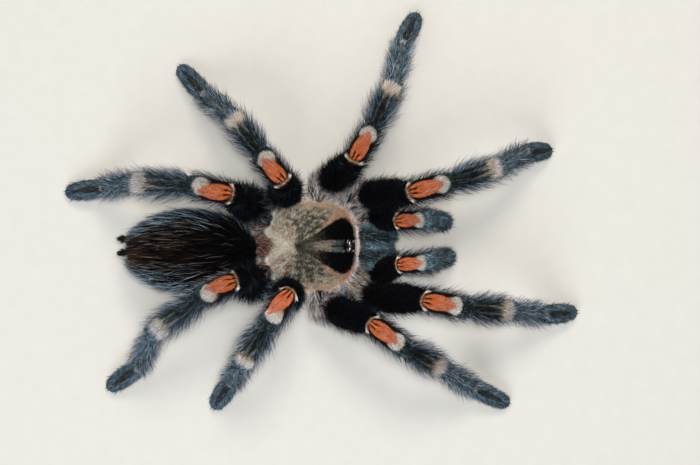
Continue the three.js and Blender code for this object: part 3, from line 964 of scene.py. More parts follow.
@dataclass
class Hairs:
    """Everything that a set of hairs is drawn from, one row for each hair; angles in radians."""

    root: np.ndarray
    normal: np.ndarray
    lie: np.ndarray
    length: np.ndarray
    width: np.ndarray
    lift: np.ndarray
    bend: np.ndarray
    curl: np.ndarray
    pull: np.ndarray
    root_tint: np.ndarray
    tip_tint: np.ndarray
    uv: np.ndarray
    joints: int


PLASTIC = 1.32471795724474602596  # the plastic number, whose multiples fill a square evenly
SCATTER_JITTER = 0.35  # how far a place strays, as a share of the spacing of the places


def scattered(surface, per_mm2, rng, keep=None):
    """Even places over a surface, thinned where keep gives less than 1."""
    grid = np.linspace(0.01, 0.99, 60)
    u, v = (a.ravel() for a in np.meshgrid(grid, grid))
    peak = surface.places(u, v)[4].max() * 1.02  # with a margin over what the grid finds
    tries = int(per_mm2 * peak * (1 / CELL))
    steps = np.arange(tries)
    u = (0.5 + steps / PLASTIC) % 1
    v = (0.5 + steps / PLASTIC**2) % 1
    jitter = SCATTER_JITTER / math.sqrt(max(tries, 1))
    u = np.clip(u + rng.normal(0, jitter, tries), 0.002, 0.998)
    v = (v + rng.normal(0, jitter, tries)) % 1
    w = Places(surface, u, v, rng)
    share = w.area / peak
    if keep is not None:
        share = share * keep(w)
    chosen = rng.random(tries) < share
    return Places(surface, u[chosen], v[chosen], rng)


def spread(setting, count, rng):
    """Values round a setting: its middle value, and how far they stray from it, as a share."""
    middle, share = setting
    return np.broadcast_to(np.asarray(middle, float), count) * (1 + share * rng.uniform(-1, 1, count))


def nearest(points, places):
    """For each place, the number of the nearest point."""
    tree = kdtree.KDTree(len(points))
    for i, p in enumerate(points):
        tree.insert(p, i)
    tree.balance()
    return [tree.find(p)[1] for p in places]


def gathered(root, tip, per_clump, pull, rng):
    """How far each tip is drawn towards that of the nearest leader, so hairs form wisps."""
    count = len(root)
    leaders = rng.choice(count, max(1, count // per_clump), replace=False)
    followed = leaders[nearest(root[leaders], root)]
    return (tip[followed] - tip) * pull


def strewn(w, looks, tint, tip, uv_at, lie=None):
    """Hairs at the places w, drawn from the settings in looks.

    Length, width, lift and bend are settings as spread takes them. Sway and curl turn a hair
    sideways at its root and along it. Tone is how much its brightness strays, and root_shade
    how dark its root is, as painted shade deep in the coat. Clump is how many hairs share a
    leader and how far they lean to it.
    """
    count = len(w.u)
    rng = w.rng
    lie = w.along if lie is None else lie
    lie = unit(lie - w.normal * np.sum(lie * w.normal, axis=1, keepdims=True))
    across = np.cross(w.normal, lie)
    lie = unit(lie + across * rng.normal(0, looks.get("sway", 0.2), count)[:, None])
    length = spread(looks["length"], count, rng)
    lift = np.radians(spread(looks["lift"], count, rng))
    tone = 1 + looks.get("tone", 0.25) * rng.uniform(-1, 1, count)[:, None]
    end = w.p + length[:, None] * (lie * np.cos(lift)[:, None] + w.normal * np.sin(lift)[:, None])
    pull = np.zeros((count, 3))
    if "clump" in looks and count:
        pull = gathered(w.p, end, *looks["clump"], rng)
    x0, y0, wide, high = uv_at
    return Hairs(
        root=w.p,
        normal=w.normal,
        lie=lie,
        length=length,
        width=spread(looks["width"], count, rng),
        lift=lift,
        bend=np.radians(spread(looks.get("bend", (0, 0)), count, rng)),
        curl=np.radians(rng.normal(0, looks.get("curl", 0), count)),
        pull=pull,
        root_tint=tint * tone * looks.get("root_shade", 0.55),
        tip_tint=tip * tone,
        uv=np.stack([x0 + wide * w.u, y0 + high * w.v], axis=-1),
        joints=looks.get("joints", 1),
    )


HAIR_SIDES = 3
HAIR_WAVE = (0, 1, -0.4)  # how much of its curl each joint of a hair turns sideways
TAPER = 0.35  # share of its width that a hair's joints would lose over its whole length
ROOT_DEPTH = 0.06  # of a hair's root below the surface
PATCH = 0.0013  # half the size of a hair's patch on the coat's map
SMALLEST_HEIGHT = 0.02  # above the floor


def hair_arrays(hairs):
    """Vertices, triangles, tints and map places of one set of hairs, as closed spikes."""
    h = hairs
    count = len(h.root)
    side = np.cross(h.normal, h.lie)
    ways = []
    for k in range(h.joints):
        bent = h.lift - h.bend * k / max(h.joints - 1, 1)
        swing = h.curl * HAIR_WAVE[k]
        level = h.lie * np.cos(swing)[:, None] + side * np.sin(swing)[:, None]
        ways.append(unit(level * np.cos(bent)[:, None] + h.normal * np.sin(bent)[:, None]))
    wide = unit(np.cross(ways[0], h.normal))
    deep = np.cross(wide, ways[0])
    place = h.root - h.normal * ROOT_DEPTH
    rings, heights, spots = [], [], []
    angles = [math.radians(90 + 360 / HAIR_SIDES * k) for k in range(HAIR_SIDES)]
    for j in range(h.joints):
        size = 1 - TAPER * j / h.joints
        for a in angles:
            spoke = wide * math.cos(a) + deep * math.sin(a)
            rings.append(place + spoke * (0.5 * size * h.width)[:, None])
            heights.append(j / h.joints)
            spots.append((math.cos(a) * size, math.sin(a) * size))
        rise = ((j + 1) / h.joints) ** 2 - (j / h.joints) ** 2
        place = place + ways[j] * (h.length / h.joints)[:, None] + h.pull * rise
    vertices = np.stack([*rings, place], axis=1)
    vertices[..., 2] = np.maximum(vertices[..., 2], SMALLEST_HEIGHT)
    point = vertices.shape[1] - 1
    faces = [(2, 1, 0)]
    for k in range(HAIR_SIDES):
        n = (k + 1) % HAIR_SIDES
        for j in range(h.joints - 1):
            a, b = j * HAIR_SIDES, (j + 1) * HAIR_SIDES
            faces += [(a + k, a + n, b + n), (a + k, b + n, b + k)]
        faces.append((point - HAIR_SIDES + k, point - HAIR_SIDES + n, point))
    faces = np.array(faces)
    triangles = (faces[None] + (point + 1) * np.arange(count)[:, None, None]).reshape(-1, 3)
    share = np.array([*heights, 1.0])[None, :, None]
    tints = h.root_tint[:, None] * (1 - share) + h.tip_tint[:, None] * share
    offset = np.array([*spots, (0, 0)]) * PATCH
    uv = (h.uv[:, None] + offset[None]).reshape(-1, 2)
    return vertices.reshape(-1, 3), triangles, tints.reshape(-1, 3), uv


def placed(name, data):
    """An object in the scene for a mesh, a lamp or a camera, at the origin."""
    made = bpy.data.objects.new(name, data)
    bpy.context.scene.collection.objects.link(made)
    return made


def piece_from(name, vertices, faces, materials):
    """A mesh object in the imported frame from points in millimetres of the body's frame."""
    mesh = bpy.data.meshes.new(name)
    mesh.from_pydata(((np.asarray(vertices) + CENTRE) * MM).tolist(), [], faces)
    for material in materials:
        mesh.materials.append(material)
    mesh.polygons.foreach_set("use_smooth", [True] * len(mesh.polygons))
    return placed(name, mesh)


def coat_piece(name, sets, material):
    """One object of many hairs, with their tints and their map."""
    parts = [hair_arrays(s) for s in sets if len(s.root)]
    offsets = np.cumsum([0] + [len(p[0]) for p in parts[:-1]])
    vertices = np.concatenate([p[0] for p in parts])
    triangles = np.concatenate([p[1] + o for p, o in zip(parts, offsets)])
    tints = np.concatenate([p[2] for p in parts])
    uv = np.concatenate([p[3] for p in parts])
    mesh = bpy.data.meshes.new(name)
    mesh.vertices.add(len(vertices))
    mesh.vertices.foreach_set("co", ((vertices + CENTRE) * MM).astype(np.float32).ravel())
    mesh.loops.add(triangles.size)
    mesh.loops.foreach_set("vertex_index", triangles.astype(np.int32).ravel())
    mesh.polygons.add(len(triangles))
    mesh.polygons.foreach_set("loop_start", np.arange(0, triangles.size, 3, dtype=np.int32))
    mesh.update(calc_edges=True)
    mesh.polygons.foreach_set("use_smooth", np.ones(len(triangles), bool))
    store_tint(mesh, tints)
    layer = mesh.uv_layers.new(name="OFBake")
    layer.data.foreach_set("uv", uv[triangles.ravel()].astype(np.float32).ravel())
    mesh.materials.append(material)
    return placed(name, mesh)


def store_tint(mesh, tints):
    """Keep a colour for each vertex, for the materials to read."""
    attribute = mesh.color_attributes.new("tint", "FLOAT_COLOR", "POINT")
    rgba = np.ones((len(tints), 4), np.float32)
    rgba[:, :3] = tints
    attribute.data.foreach_set("color", rgba.ravel())


# ---------------------------------------------------------------- the coat, part by part


WHOLE_MAP = (0.01, 0.01, 0.98, 0.98)
COAT_SEEDS = {"limbs": 100, "carapace": 41, "abdomen": 43, "chelicerae": 47, "underside": 53}
BURIED = 0.04  # how deep inside another surface a place is bare, as a share of its radius


def clear_of(others):
    """A keep rule: 0 for places that lie inside one of the other surfaces."""

    def keep(w):
        free = np.ones(len(w.u))
        for other in others:
            free *= other.facts["inside"](w.p) < BURIED
        return free

    return keep


# Where the hair of a rear leg's femur closes the gap to its neighbour, as seen from above.
GAPS = {
    "leg_L3": (-9.9, 9.9),
    "leg_L4": (-9.9, 9.9),
    "leg_R3": (-10.5, -10.5),
    "leg_R4": (-10.5, -10.5),
}
# Each segment's coat: hairs for each square millimetre, then length, width and lift, and for
# the outer layer how far a hair bends back. The under layer is short and dense; the outer one
# is longer and stands out more.
LEG_COATS = {
    "femur": {"under": (20, 1.5, 0.17, 32), "outer": (7, 2.3, 0.10, 46, 16)},
    "patella": {"under": (48, 0.65, 0.11, 24), "outer": (8, 2.4, 0.085, 40, 16)},
    "tibia": {"under": (30, 1.5, 0.12, 27), "outer": (8, 2.9, 0.09, 42, 18)},
    "metatarsus": {"under": (32, 1.3, 0.11, 27), "outer": (8, 2.7, 0.09, 42, 18)},
    "tarsus": {"under": (42, 0.9, 0.11, 30), "outer": (8, 1.2, 0.09, 38, 10)},
}
BRUSH = {"under": 1.7, "outer": 2.1, "lift": 30}  # lengths and lift on the brushy segments


def end_trim(w):
    """Hair is shorter towards the far end of a segment, most of all in front of a knee."""
    far_trim = 0.6 if w.surface.kind == "femur" else 0.25
    return 1 - far_trim * smooth(0.84, 1.0, w.t)


def side_share(w):
    """Where the outer layer grows: mostly on the sides, and clear of the pale markings."""
    kind, brushy = w.surface.kind, is_brushy(w.surface)
    if kind == "patella":
        sides = smooth(58, 72, rolled(w))
    elif kind == "tibia":
        sides = smooth(30, 65, w.away) * (1 - band(0.68, 1.0, w.t, 0.03) * (w.away < 85))
    else:
        sides = 1.0 if brushy else 0.1 + 0.9 * smooth(25, 65, w.away)
    return sides * (w.t < (1.5 if brushy else 1.0)) * (1 - 0.4 * smooth(120, 150, w.away))


def under_layer(surface, free, uv_at, rng):
    """Short dense hair that carries the markings."""
    kind = surface.kind
    per_mm2, length, width, lift = LEG_COATS[kind]["under"]
    thinning = 0.5 if kind == "patella" else 0.35

    def thinner_below(w):
        return free(w) * (1 - thinning * smooth(100, 125, w.away))

    w = scattered(surface, per_mm2, rng, thinner_below)
    tint = tint_of(w)
    trim = end_trim(w)
    if is_brushy(surface):
        length, lift = BRUSH["under"], BRUSH["lift"]
    elif kind == "tarsus":
        trim = trim * (1 - 0.4 * smooth(0.95, 1.1, w.t))
    flat = 1 - 0.25 * (w.away < 60) * (kind not in ("femur", "tarsus"))
    looks = {
        "length": (length * trim * (0.5 + 0.5 * flat), 0.25),
        "width": (width, 0.25),
        "lift": (lift * flat, 0.35),
        "sway": 0.06 if kind == "patella" else 0.14,
        "tone": 0.4,
        "root_shade": 0.45,
    }
    return strewn(w, looks, tint, tint * 1.2, uv_at)


def outer_layer(surface, free, uv_at, rng):
    """Longer, loose hair with some pale tips."""
    kind, brushy = surface.kind, is_brushy(surface)
    per_mm2, length, width, lift, bend = LEG_COATS[kind]["outer"]
    w = scattered(surface, per_mm2, rng, lambda w: free(w) * side_share(w))
    tint = palp_end_tint(w) if brushy else SIDE_TINTS[kind](w)
    tint = mix(tint, BLUE_BLACK, 0.5 * (w.other > 0.5) * (not brushy))
    pale = 0.0
    if kind not in ("femur", "tarsus"):
        pale = (w.chance > 0.5) * smooth(35, 70, w.away)
    if kind == "patella":
        pale = pale * smooth(0.05, 0.25, w.t)
    tip = mix(tint, mix(ASH, LILAC, w.other), 0.8 * pale)
    strays = 1 + 0.4 * (w.other > 0.8)
    if kind == "femur" and surface.name.startswith("palp"):
        strays = strays * 0.5
    looks = {
        "length": ((BRUSH["outer"] if brushy else length) * end_trim(w) * strays, 0.3),
        "width": (width, 0.2),
        "lift": (lift, 0.3),
        "bend": (bend, 0.8),
        "curl": 6,
        "sway": 0.2,
        "tone": 0.4,
        "joints": 2,
        "clump": (2, 0.2),
    }
    return strewn(w, looks, tint, tip, uv_at)


def gap_tufts(surface, free, uv_at, rng):
    """Tall dark hair at the base of a femur, on the side of its neighbour, dark partly as painted
    shadow in the gap between them.
    """
    gap = np.array(GAPS[surface.facts["limb"]])

    def facing_gap(w):
        near = np.exp(-np.sum(((w.p[:, :2] - gap) / 3.0) ** 2, axis=1))
        return free(w) * near * smooth(0.6, 0.4, w.t)

    w = scattered(surface, 18, rng, facing_gap)
    tint = mix(mix(VELVET_BLACK, UMBER, 0.5 * w.chance), BLUE_BLACK, w.other)
    tip = mix(tint, STEEL_BLUE_SHEEN, 0.7 * (w.chance > 0.8))
    looks = {
        "length": (3.6, 0.3),
        "width": (0.12, 0.2),
        "lift": (62, 0.25),
        "sway": 0.4,
        "bend": (20, 0.6),
        "joints": 2,
        "clump": (6, 0.4),
    }
    return strewn(w, looks, tint, tip, uv_at)


def whiskers(surface, free, uv_at, rng):
    """A few long thin hairs that stand out on both sides."""

    def keep(w):
        return free(w) * side_share(w) * smooth(45, 75, w.away)

    w = scattered(surface, 1.6, rng, keep)
    tint = mix(ASH, LILAC, w.chance)
    looks = {
        "length": (3.6 - 1.2 * is_brushy(surface), 0.3),
        "width": (0.07, 0.2),
        "lift": (46, 0.3),
        "bend": (26, 0.6),
        "joints": 2,
        "root_shade": 0.3,
    }
    return strewn(w, looks, tint, tint, uv_at)


def segment_coat(surface, neighbours, uv_at, rng):
    """The layers of hair on one limb segment."""
    layers = [under_layer, outer_layer]
    if surface.kind == "femur" and surface.facts["limb"] in GAPS:
        layers.append(gap_tufts)
    if surface.kind in ("tibia", "metatarsus") or is_brushy(surface):
        layers.append(whiskers)
    free = clear_of(neighbours)
    return [layer(surface, free, uv_at, rng) for layer in layers]


def collar_tufts(surface, uv_at, rng):
    """The crisp pale collar of a knee, longest at its two corners."""

    def keep(w):
        along = knee_run(w) - collar_bow(rolled(w))
        return band(-0.004, 0.02, along, 0.006) * smooth(79, 72, rolled(w))

    w = scattered(surface, 80, rng, keep)
    corner = smooth(40, 62, rolled(w))
    tint = mix(mix(BROWN, CREAM, w.chance), BONE, 0.85 * corner)
    looks = {
        "length": (0.35 + 0.4 * corner, 0.4),
        "width": (0.10, 0.2),
        "lift": (18 + 26 * corner, 0.3),
        "root_shade": 0.8,
    }
    return strewn(w, looks, tint, tint * 1.1, uv_at)


def limb_coat(name, material, seed):
    """A limb's coat. Its segments lie side by side on the map."""
    surfaces = LIMBS[name]
    rng = np.random.default_rng(seed)
    sets = []
    total = sum(s.facts["length"] for s in surfaces)
    x = 0.01
    for i, surface in enumerate(surfaces):
        wide = 0.98 * surface.facts["length"] / total
        uv_at = (x, 0.02, wide - 0.01, 0.96)
        x += wide
        neighbours = [s for k, s in enumerate(surfaces) if k != i]
        if i == 0:
            neighbours.append(COXAE[name])
        sets += segment_coat(surface, neighbours, uv_at, rng)
        if surface.kind == "patella":
            sets.append(collar_tufts(surface, uv_at, rng))
    return coat_piece(f"coat_{name}", sets, material)


def carapace_lie(w):
    """Away from the fovea, along the ground."""
    lie = w.p - np.array([FOVEA[0], 0.0, 0.0])
    lie[:, 2] = 0
    return unit(lie)


def carapace_nap(rng):
    """Short dense hair that carries the carapace's markings, bare round the eyes."""
    mound = np.array(EYE_MOUND["at"][:2])

    def on_top(w):
        off_eyes = np.linalg.norm((w.p[:, :2] - mound) / (1.5, 1.6), axis=1) > 1
        bare_line = (np.abs(w.p[:, 1]) < 0.09) & (w.p[:, 0] > 3.2) & (w.p[:, 0] < 7.1)
        return (w.u < RIM_AT - 0.02) * off_eyes * ~bare_line

    w = scattered(BODY["carapace"], 95, rng, on_top)
    tint = carapace_tint(w)
    near_eyes = smooth(6.0, 7.0, w.p[:, 0]) * (np.abs(w.p[:, 1]) < 2)
    looks = {
        "length": (0.45 - 0.1 * near_eyes, 0.35),
        "width": (0.09, 0.25),
        "lift": (30, 0.5),
        "sway": 0.5,
        "tone": 0.5,
        "root_shade": 0.5,
    }
    return strewn(w, looks, tint, tint * 1.35, WHOLE_MAP, carapace_lie(w))


def rim_fringe(rng):
    """The upper row of the fringe round the rim, dense and short."""

    def at_edge(w):
        behind = smooth(-5.5, -7.5, w.p[:, 0])
        front = smooth(7.0, 8.5, w.p[:, 0])
        return band(0.61 + 0.02 * behind - 0.025 * front, 0.70, w.u, 0.008)

    w = scattered(BODY["carapace"], 60, rng, at_edge)
    front = smooth(6.5, 8.5, w.p[:, 0])
    rear = smooth(-6.5, -8.5, w.p[:, 0])
    notch = smooth(2.2, 0.8, np.abs(w.p[:, 1]))
    looks = {
        "length": (1.6 - 1.05 * front + (0.2 - 0.85 * notch) * rear, 0.35),
        "width": (0.10 - 0.015 * rear, 0.25),
        "lift": (8 + 8 * front + (12 - 22 * notch) * rear, 0.5),
        "sway": 0.3,
        "tone": 0.35,
        "root_shade": 0.8,
        "clump": (3, 0.25),
    }
    tint = mix(carapace_tint(w), PINK_WHITE, 0.5 * w.chance)
    tip = mix(1.2 * mix(LILAC, PINK_WHITE, w.chance), 1.2 * BONE, 0.1 + 0.4 * rear)
    return strewn(w, looks, tint, tip, WHOLE_MAP, carapace_lie(w))


def rim_skirt(rng):
    """The lower row, long and pale, with russet hair in the notch behind."""

    def below_edge(w):
        return band(0.70, 0.84, w.u, 0.01) * (w.p[:, 0] < 7.5)

    w = scattered(BODY["carapace"], 26, rng, below_edge)
    clump = mottle(w.p, 2.2, 17)
    rear = smooth(-5.5, -7.5, w.p[:, 0])
    notch = smooth(2.4, 1.2, np.abs(w.p[:, 1]))
    tint = mix(mix(STEEL_BLUE_SHEEN, LILAC, smooth(0.3, 0.5, clump)), TAN, smooth(0.52, 0.62, clump))
    tint = mix(tint, BLUE_BLACK, 0.9 * (w.other > 0.78))
    russet = mix(UMBER, mix(BROWN, RUST, 0.5), w.chance)
    tint = mix(tint, mix(mix(TAN, LILAC, smooth(0.2, 0.5, w.other)), russet, notch), rear)
    looks = {
        "length": (3.4 - 1.0 * rear, 0.3),
        "width": (0.11, 0.25),
        "lift": (-6, 2.0),
        "bend": (6, 1.0),
        "curl": 10 + 15 * rear,
        "sway": 0.3 + 0.6 * rear,
        "tone": 0.4,
        "joints": 2,
        "clump": (9, 0.4),
    }
    pale = (0.95 - 0.5 * rear * notch) * (w.chance > 0.4 + 0.3 * rear * notch)
    tip = mix(tint, mix(LILAC, BONE, w.chance), pale)
    return strewn(w, looks, tint, tip, WHOLE_MAP, carapace_lie(w))


def carapace_coat(material):
    rng = np.random.default_rng(COAT_SEEDS["carapace"])
    return coat_piece("coat_carapace", [carapace_nap(rng), rim_fringe(rng), rim_skirt(rng)], material)


def abdomen_nap(rng):
    """Short dark hair all over the abdomen, thinner below."""
    w = scattered(BODY["abdomen"], 15, rng, lambda w: 1 - 0.35 * smooth(110, 140, w.away))
    tint = abdomen_tint(w)
    length = 1.7 - 0.8 * smooth(0.82, 0.94, w.u)
    looks = {"length": (length, 0.3), "width": (0.16, 0.2), "lift": (26, 0.4), "sway": 0.15}
    return strewn(w, looks, tint, tint * 1.2, WHOLE_MAP)


def abdomen_dark_hair(rng):
    """Long black hairs swept backwards."""
    w = scattered(BODY["abdomen"], 5.2, rng, lambda w: smooth(0.0, 0.3, w.u))
    dark = abdomen_tint(w)
    looks = {
        "length": (4.0 - 2.9 * smooth(0.78, 0.92, w.u), 0.3),
        "width": (0.09, 0.2),
        "lift": (20, 0.5),
        "bend": (18, 0.6),
        "curl": 9,
        "sway": 0.12,
        "joints": 3,
        "clump": (5, 0.4),
    }
    return strewn(w, looks, dark * 0.7, dark, WHOLE_MAP)


def abdomen_pale_hair(rng):
    """Fewer pale wavy hairs: tan and brown on the back, blue-grey with a painted sheen on the flanks.
    """

    def pale_share(w):
        flank = smooth(30, 60, w.away)
        back = 0.10 + 0.90 * smooth(0.22, 0.52, w.u)
        shoulder = band(62, 100, w.away, 8) * smooth(0.04, 0.12, w.u)
        reach = np.maximum(back, np.maximum(0.5 * flank, shoulder))
        return (0.45 + 0.55 * flank) * reach * (w.away < 125)

    w = scattered(BODY["abdomen"], 3.4, rng, pale_share)
    flank = smooth(25, 55, w.away + 12 * w.waver)
    warm = mix(mix(UMBER, BROWN, 0.8 * w.other), mix(TAN, ASH, w.other), 0.6 * (w.chance > 0.60))
    bright = 0.85 * (w.chance > 0.35)
    cool = mix(mix(SLATE, STEEL_BLUE_SHEEN, w.other), mix(ASH, PALE_STEEL_SHEEN, w.chance), bright)
    # Painted sheen: the right flank is painted the brighter one, and both are duller behind.
    sheen = np.where(w.p[:, 1] < 0, 1.2, 0.45 + 0.5 * smooth(0.25, 0.5, w.u))
    cool = cool * (sheen * (1 - 0.65 * smooth(0.66, 0.84, w.u)))[:, None]
    tint = mix(warm, cool, flank)
    looks = {
        "length": (4.8 - 3.5 * smooth(0.76, 0.92, w.u), 0.3),
        "width": (0.068 + 0.014 * flank, 0.3),
        "lift": (21, 0.4),
        "bend": (17, 0.5),
        "curl": 9,
        "sway": 0.10,
        "tone": 0.5,
        "joints": 3,
        "root_shade": 0.25,
        "clump": (2, 0.4),
    }
    return strewn(w, looks, tint, tint, WHOLE_MAP)


def abdomen_coat(material):
    rng = np.random.default_rng(COAT_SEEDS["abdomen"])
    sets = [abdomen_nap(rng), abdomen_dark_hair(rng), abdomen_pale_hair(rng)]
    return coat_piece("coat_abdomen", sets, material)


def uncapped(w):
    """The chelicerae in front of the carapace's rim."""
    return smooth(9.1, 9.4, w.p[:, 0])


def fanned(w):
    """Forwards along a chelicera, and outwards on its outer side."""
    side = np.array([0, w.surface.facts["side"], 0])
    return unit(w.along + 0.8 * side * smooth(1.8, 4.2, np.abs(w.p[:, 1]))[:, None])


def chelicera_nap(surface, uv_at, rng):
    """Sleek hair that carries the markings."""

    def keep(w):
        return uncapped(w) * (1 - 0.25 * smooth(9.9, 10.4, w.p[:, 0]))

    w = scattered(surface, 60, rng, keep)
    tint = chelicera_tint(w)
    looks = {
        "length": (0.95, 0.35),
        "width": (0.10, 0.2),
        "lift": (12 + 14 * smooth(9.6, 10.4, w.p[:, 0]), 0.4),
        "sway": 0.2,
        "tone": 0.5,
        "root_shade": 0.35,
    }
    return strewn(w, looks, tint, tint * 1.35, uv_at, fanned(w))


def chelicera_fan(surface, uv_at, rng):
    """Longer hair over the front half and the outer side."""

    def keep(w):
        outer_side = smooth(3.2, 4.2, np.abs(w.p[:, 1])) * uncapped(w)
        return np.maximum(smooth(0.5, 0.7, w.u), outer_side)

    w = scattered(surface, 26, rng, keep)
    tint = chelicera_tint(w)
    looks = {
        "length": (2.3, 0.3),
        "width": (0.09, 0.2),
        "lift": (32, 0.3),
        "bend": (14, 0.8),
        "sway": 0.2,
        "tone": 0.45,
        "joints": 2,
        "root_shade": 0.35,
        "clump": (5, 0.4),
    }
    # Pale tips on the outer side are painted sheen.
    tip = mix(tint, 1.1 * PALE_STEEL_SHEEN, 0.9 * w.chance * smooth(3.7, 4.5, np.abs(w.p[:, 1])))
    return strewn(w, looks, tint, tip, uv_at, fanned(w))


def chelicerae_coat(material):
    rng = np.random.default_rng(COAT_SEEDS["chelicerae"])
    sets = []
    for i, name in enumerate(("chelicera_L", "chelicera_R")):
        uv_at = (0.01 + 0.5 * i, 0.01, 0.47, 0.98)
        sets.append(chelicera_nap(BODY[name], uv_at, rng))
        sets.append(chelicera_fan(BODY[name], uv_at, rng))
    return coat_piece("coat_chelicerae", sets, material)


def uncovered(w):
    """What does not lie hidden under the carapace."""
    return ~((rim_share(w) < 0.90) & (w.p[:, 2] > 6.0))


def body_nap(surface, free, uv_at, rng):
    """Plain short hair, denser on the spinnerets."""
    spinneret = surface.kind == "spinneret"
    w = scattered(surface, 36 if spinneret else 9, rng, lambda w: uncovered(w) * free(w))
    tint = tint_of(w)
    length = 0.8 if spinneret else 1.2
    looks = {"length": (length, 0.3), "width": (0.14, 0.2), "lift": (28, 0.4), "sway": 0.25}
    return strewn(w, looks, tint, tint * 1.15, uv_at)


def hip_ruff(surface, free, uv_at, rng):
    """Long hair over a coxa's upper end, that fans out round the base of the leg."""

    def upper_end(w):
        # Hairs at the carapace's rear corners would hide its own fringe.
        corner = smooth(-3.0, -6.0, w.p[:, 0]) * smooth(4.0, 5.0, np.abs(w.p[:, 1]))
        off_rim = 1 - corner * smooth(1.14, 1.04, rim_share(w))
        return uncovered(w) * free(w) * off_rim * smooth(120, 95, w.away) * smooth(0.3, 0.5, w.t)

    w = scattered(surface, 28, rng, upper_end)
    behind = smooth(-3.0, -6.0, w.p[:, 0])
    looks = {
        "length": (2.9 + 0.9 * band(45, 105, w.away, 12) + 0.6 * behind, 0.3),
        "width": (0.12, 0.2),
        "lift": (30, 0.5),
        "bend": (20, 0.8),
        "curl": 8,
        "sway": 0.3 + 0.6 * behind,
        "tone": 0.5,
        "joints": 2,
        "root_shade": 0.35,
        "clump": (10, 0.5),
    }
    # Close to the carapace's rear rim it is browner, with more pale tips.
    tucked = behind * smooth(1.35, 1.1, rim_share(w))
    tint = mix(tint_of(w), mix(BROWN, PEACH, w.other), 0.75 * tucked * w.chance)
    paler = 0.9 * (w.chance > 0.3 + 0.4 * behind - 0.3 * tucked)
    clump = mottle(w.p, 1.1, 13)
    pale = mix(mix(PALE_STEEL_SHEEN, LILAC, w.other), mix(TAN, BONE, w.other), smooth(0.5, 0.65, clump))
    tip = mix(tint, 1.1 * pale, paler * (clump > 0.38))
    return strewn(w, looks, tint, tip, uv_at)


def waist_hair(uv_at, rng):
    """Loose russet and grey hair round the waist."""
    w = scattered(BODY["pedicel"], 34, rng)
    middle = smooth(2.0, 0.6, np.abs(w.p[:, 1]))
    fore = smooth(-11.6, -9.6, w.p[:, 0])
    russet = mix(BROWN, RUST, 0.45)
    tint = mix(UMBER_BLACK, russet, (0.2 + 0.3 * middle + 0.5 * fore) * w.chance)
    tint = mix(tint, LILAC, (w.other > 0.80) * 0.7)
    looks = {
        "length": (1.9, 0.35),
        "width": (0.10, 0.2),
        "lift": (50, 0.5),
        "bend": (30, 0.8),
        "sway": 1.3,
        "tone": 0.45,
        "joints": 2,
        "clump": (6, 0.3),
    }
    return strewn(w, looks, tint, mix(tint, PEACH, 0.3 * w.chance), uv_at)


def underside_coat(material):
    """Sternum, coxae, spinnerets and waist, with the pale tufts that show between the legs."""
    rng = np.random.default_rng(COAT_SEEDS["underside"])
    surfaces = [BODY[name] for name in ("sternum", "spinneret_L", "spinneret_R", "pedicel")]
    surfaces += COXAE.values()
    wide = 0.98 / len(surfaces)
    maps = [(0.01 + wide * i, 0.01, wide - 0.01, 0.98) for i in range(len(surfaces))]
    sets = []
    for surface, uv_at in zip(surfaces, maps):
        free = clear_of([s for s in COXAE.values() if s is not surface])
        sets.append(body_nap(surface, free, uv_at, rng))
        if surface.kind == "coxa":
            sets.append(hip_ruff(surface, free, uv_at, rng))
    sets.append(waist_hair(maps[surfaces.index(BODY["pedicel"])], rng))
    return coat_piece("coat_underside", sets, material)


# ---------------------------------------------------------------- skin


SKIN_VOXEL = 0.36  # how fine the skin's mesh is
SKIN_SAMPLES = 9  # places for each square millimetre that its markings are taken from
SKIN_SEED = 5
SKIN_SHADE = 0.42  # how much darker it is than the hair: painted shade deep under the coat


def joined(surfaces):
    """The meshes of some surfaces as one list of vertices and faces, all facing outwards."""
    vertices, faces, count = [], [], 0
    for surface in surfaces:
        points, quads = surface.mesh()
        if surface.outward < 0:
            quads = [tuple(reversed(q)) for q in quads]
        vertices.append(points)
        faces += [tuple(i + count for i in q) for q in quads]
        count += len(points)
    return np.concatenate(vertices), faces


def skin_piece(material):
    """All the flesh as one closed skin, with the coat's own markings."""
    surfaces = [s for limb in LIMBS.values() for s in limb]
    surfaces += [*COXAE.values(), *BODY.values()]
    rough = piece_from("skin_rough", *joined(surfaces), [material])
    remesh = rough.modifiers.new("one_skin", "REMESH")
    remesh.mode = "VOXEL"
    remesh.voxel_size = SKIN_VOXEL * MM
    remesh.use_smooth_shade = True
    soften = rough.modifiers.new("soften", "SMOOTH")
    soften.factor = 0.5
    soften.iterations = 4
    depsgraph = bpy.context.evaluated_depsgraph_get()
    mesh = bpy.data.meshes.new_from_object(rough.evaluated_get(depsgraph))
    mesh.name = "skin"
    bpy.data.objects.remove(rough)
    mesh.materials.clear()
    mesh.materials.append(material)
    mesh.polygons.foreach_set("use_smooth", [True] * len(mesh.polygons))
    store_tint(mesh, nearest_tints(mesh, surfaces))
    return placed("skin", mesh)


def nearest_tints(mesh, surfaces):
    """For each vertex of the skin, the marking of the nearest place on the surfaces, darkened as
    painted shade.
    """
    rng = np.random.default_rng(SKIN_SEED)
    samples = [scattered(s, SKIN_SAMPLES, rng) for s in surfaces]
    points = np.concatenate([w.p for w in samples])
    tints = np.concatenate([tint_of(w) for w in samples])
    places = np.empty(len(mesh.vertices) * 3, np.float32)
    mesh.vertices.foreach_get("co", places)
    places = places.reshape(-1, 3) / MM - CENTRE
    return tints[nearest(points, places)] * SKIN_SHADE


# ---------------------------------------------------------------- eyes, fangs, claws


def ellipsoid(centre, half, rows, columns):
    """A bead with its poles above and below."""
    centre, half = np.array(centre), np.array(half)

    def point(u, v):
        a = math.pi * u
        x, y = np.sin(a) * np.cos(2 * math.pi * v), np.sin(a) * np.sin(2 * math.pi * v)
        return centre + np.stack([x, y, np.cos(a)], axis=-1) * half

    return Surface("ellipsoid", "eye", point, (rows, columns))


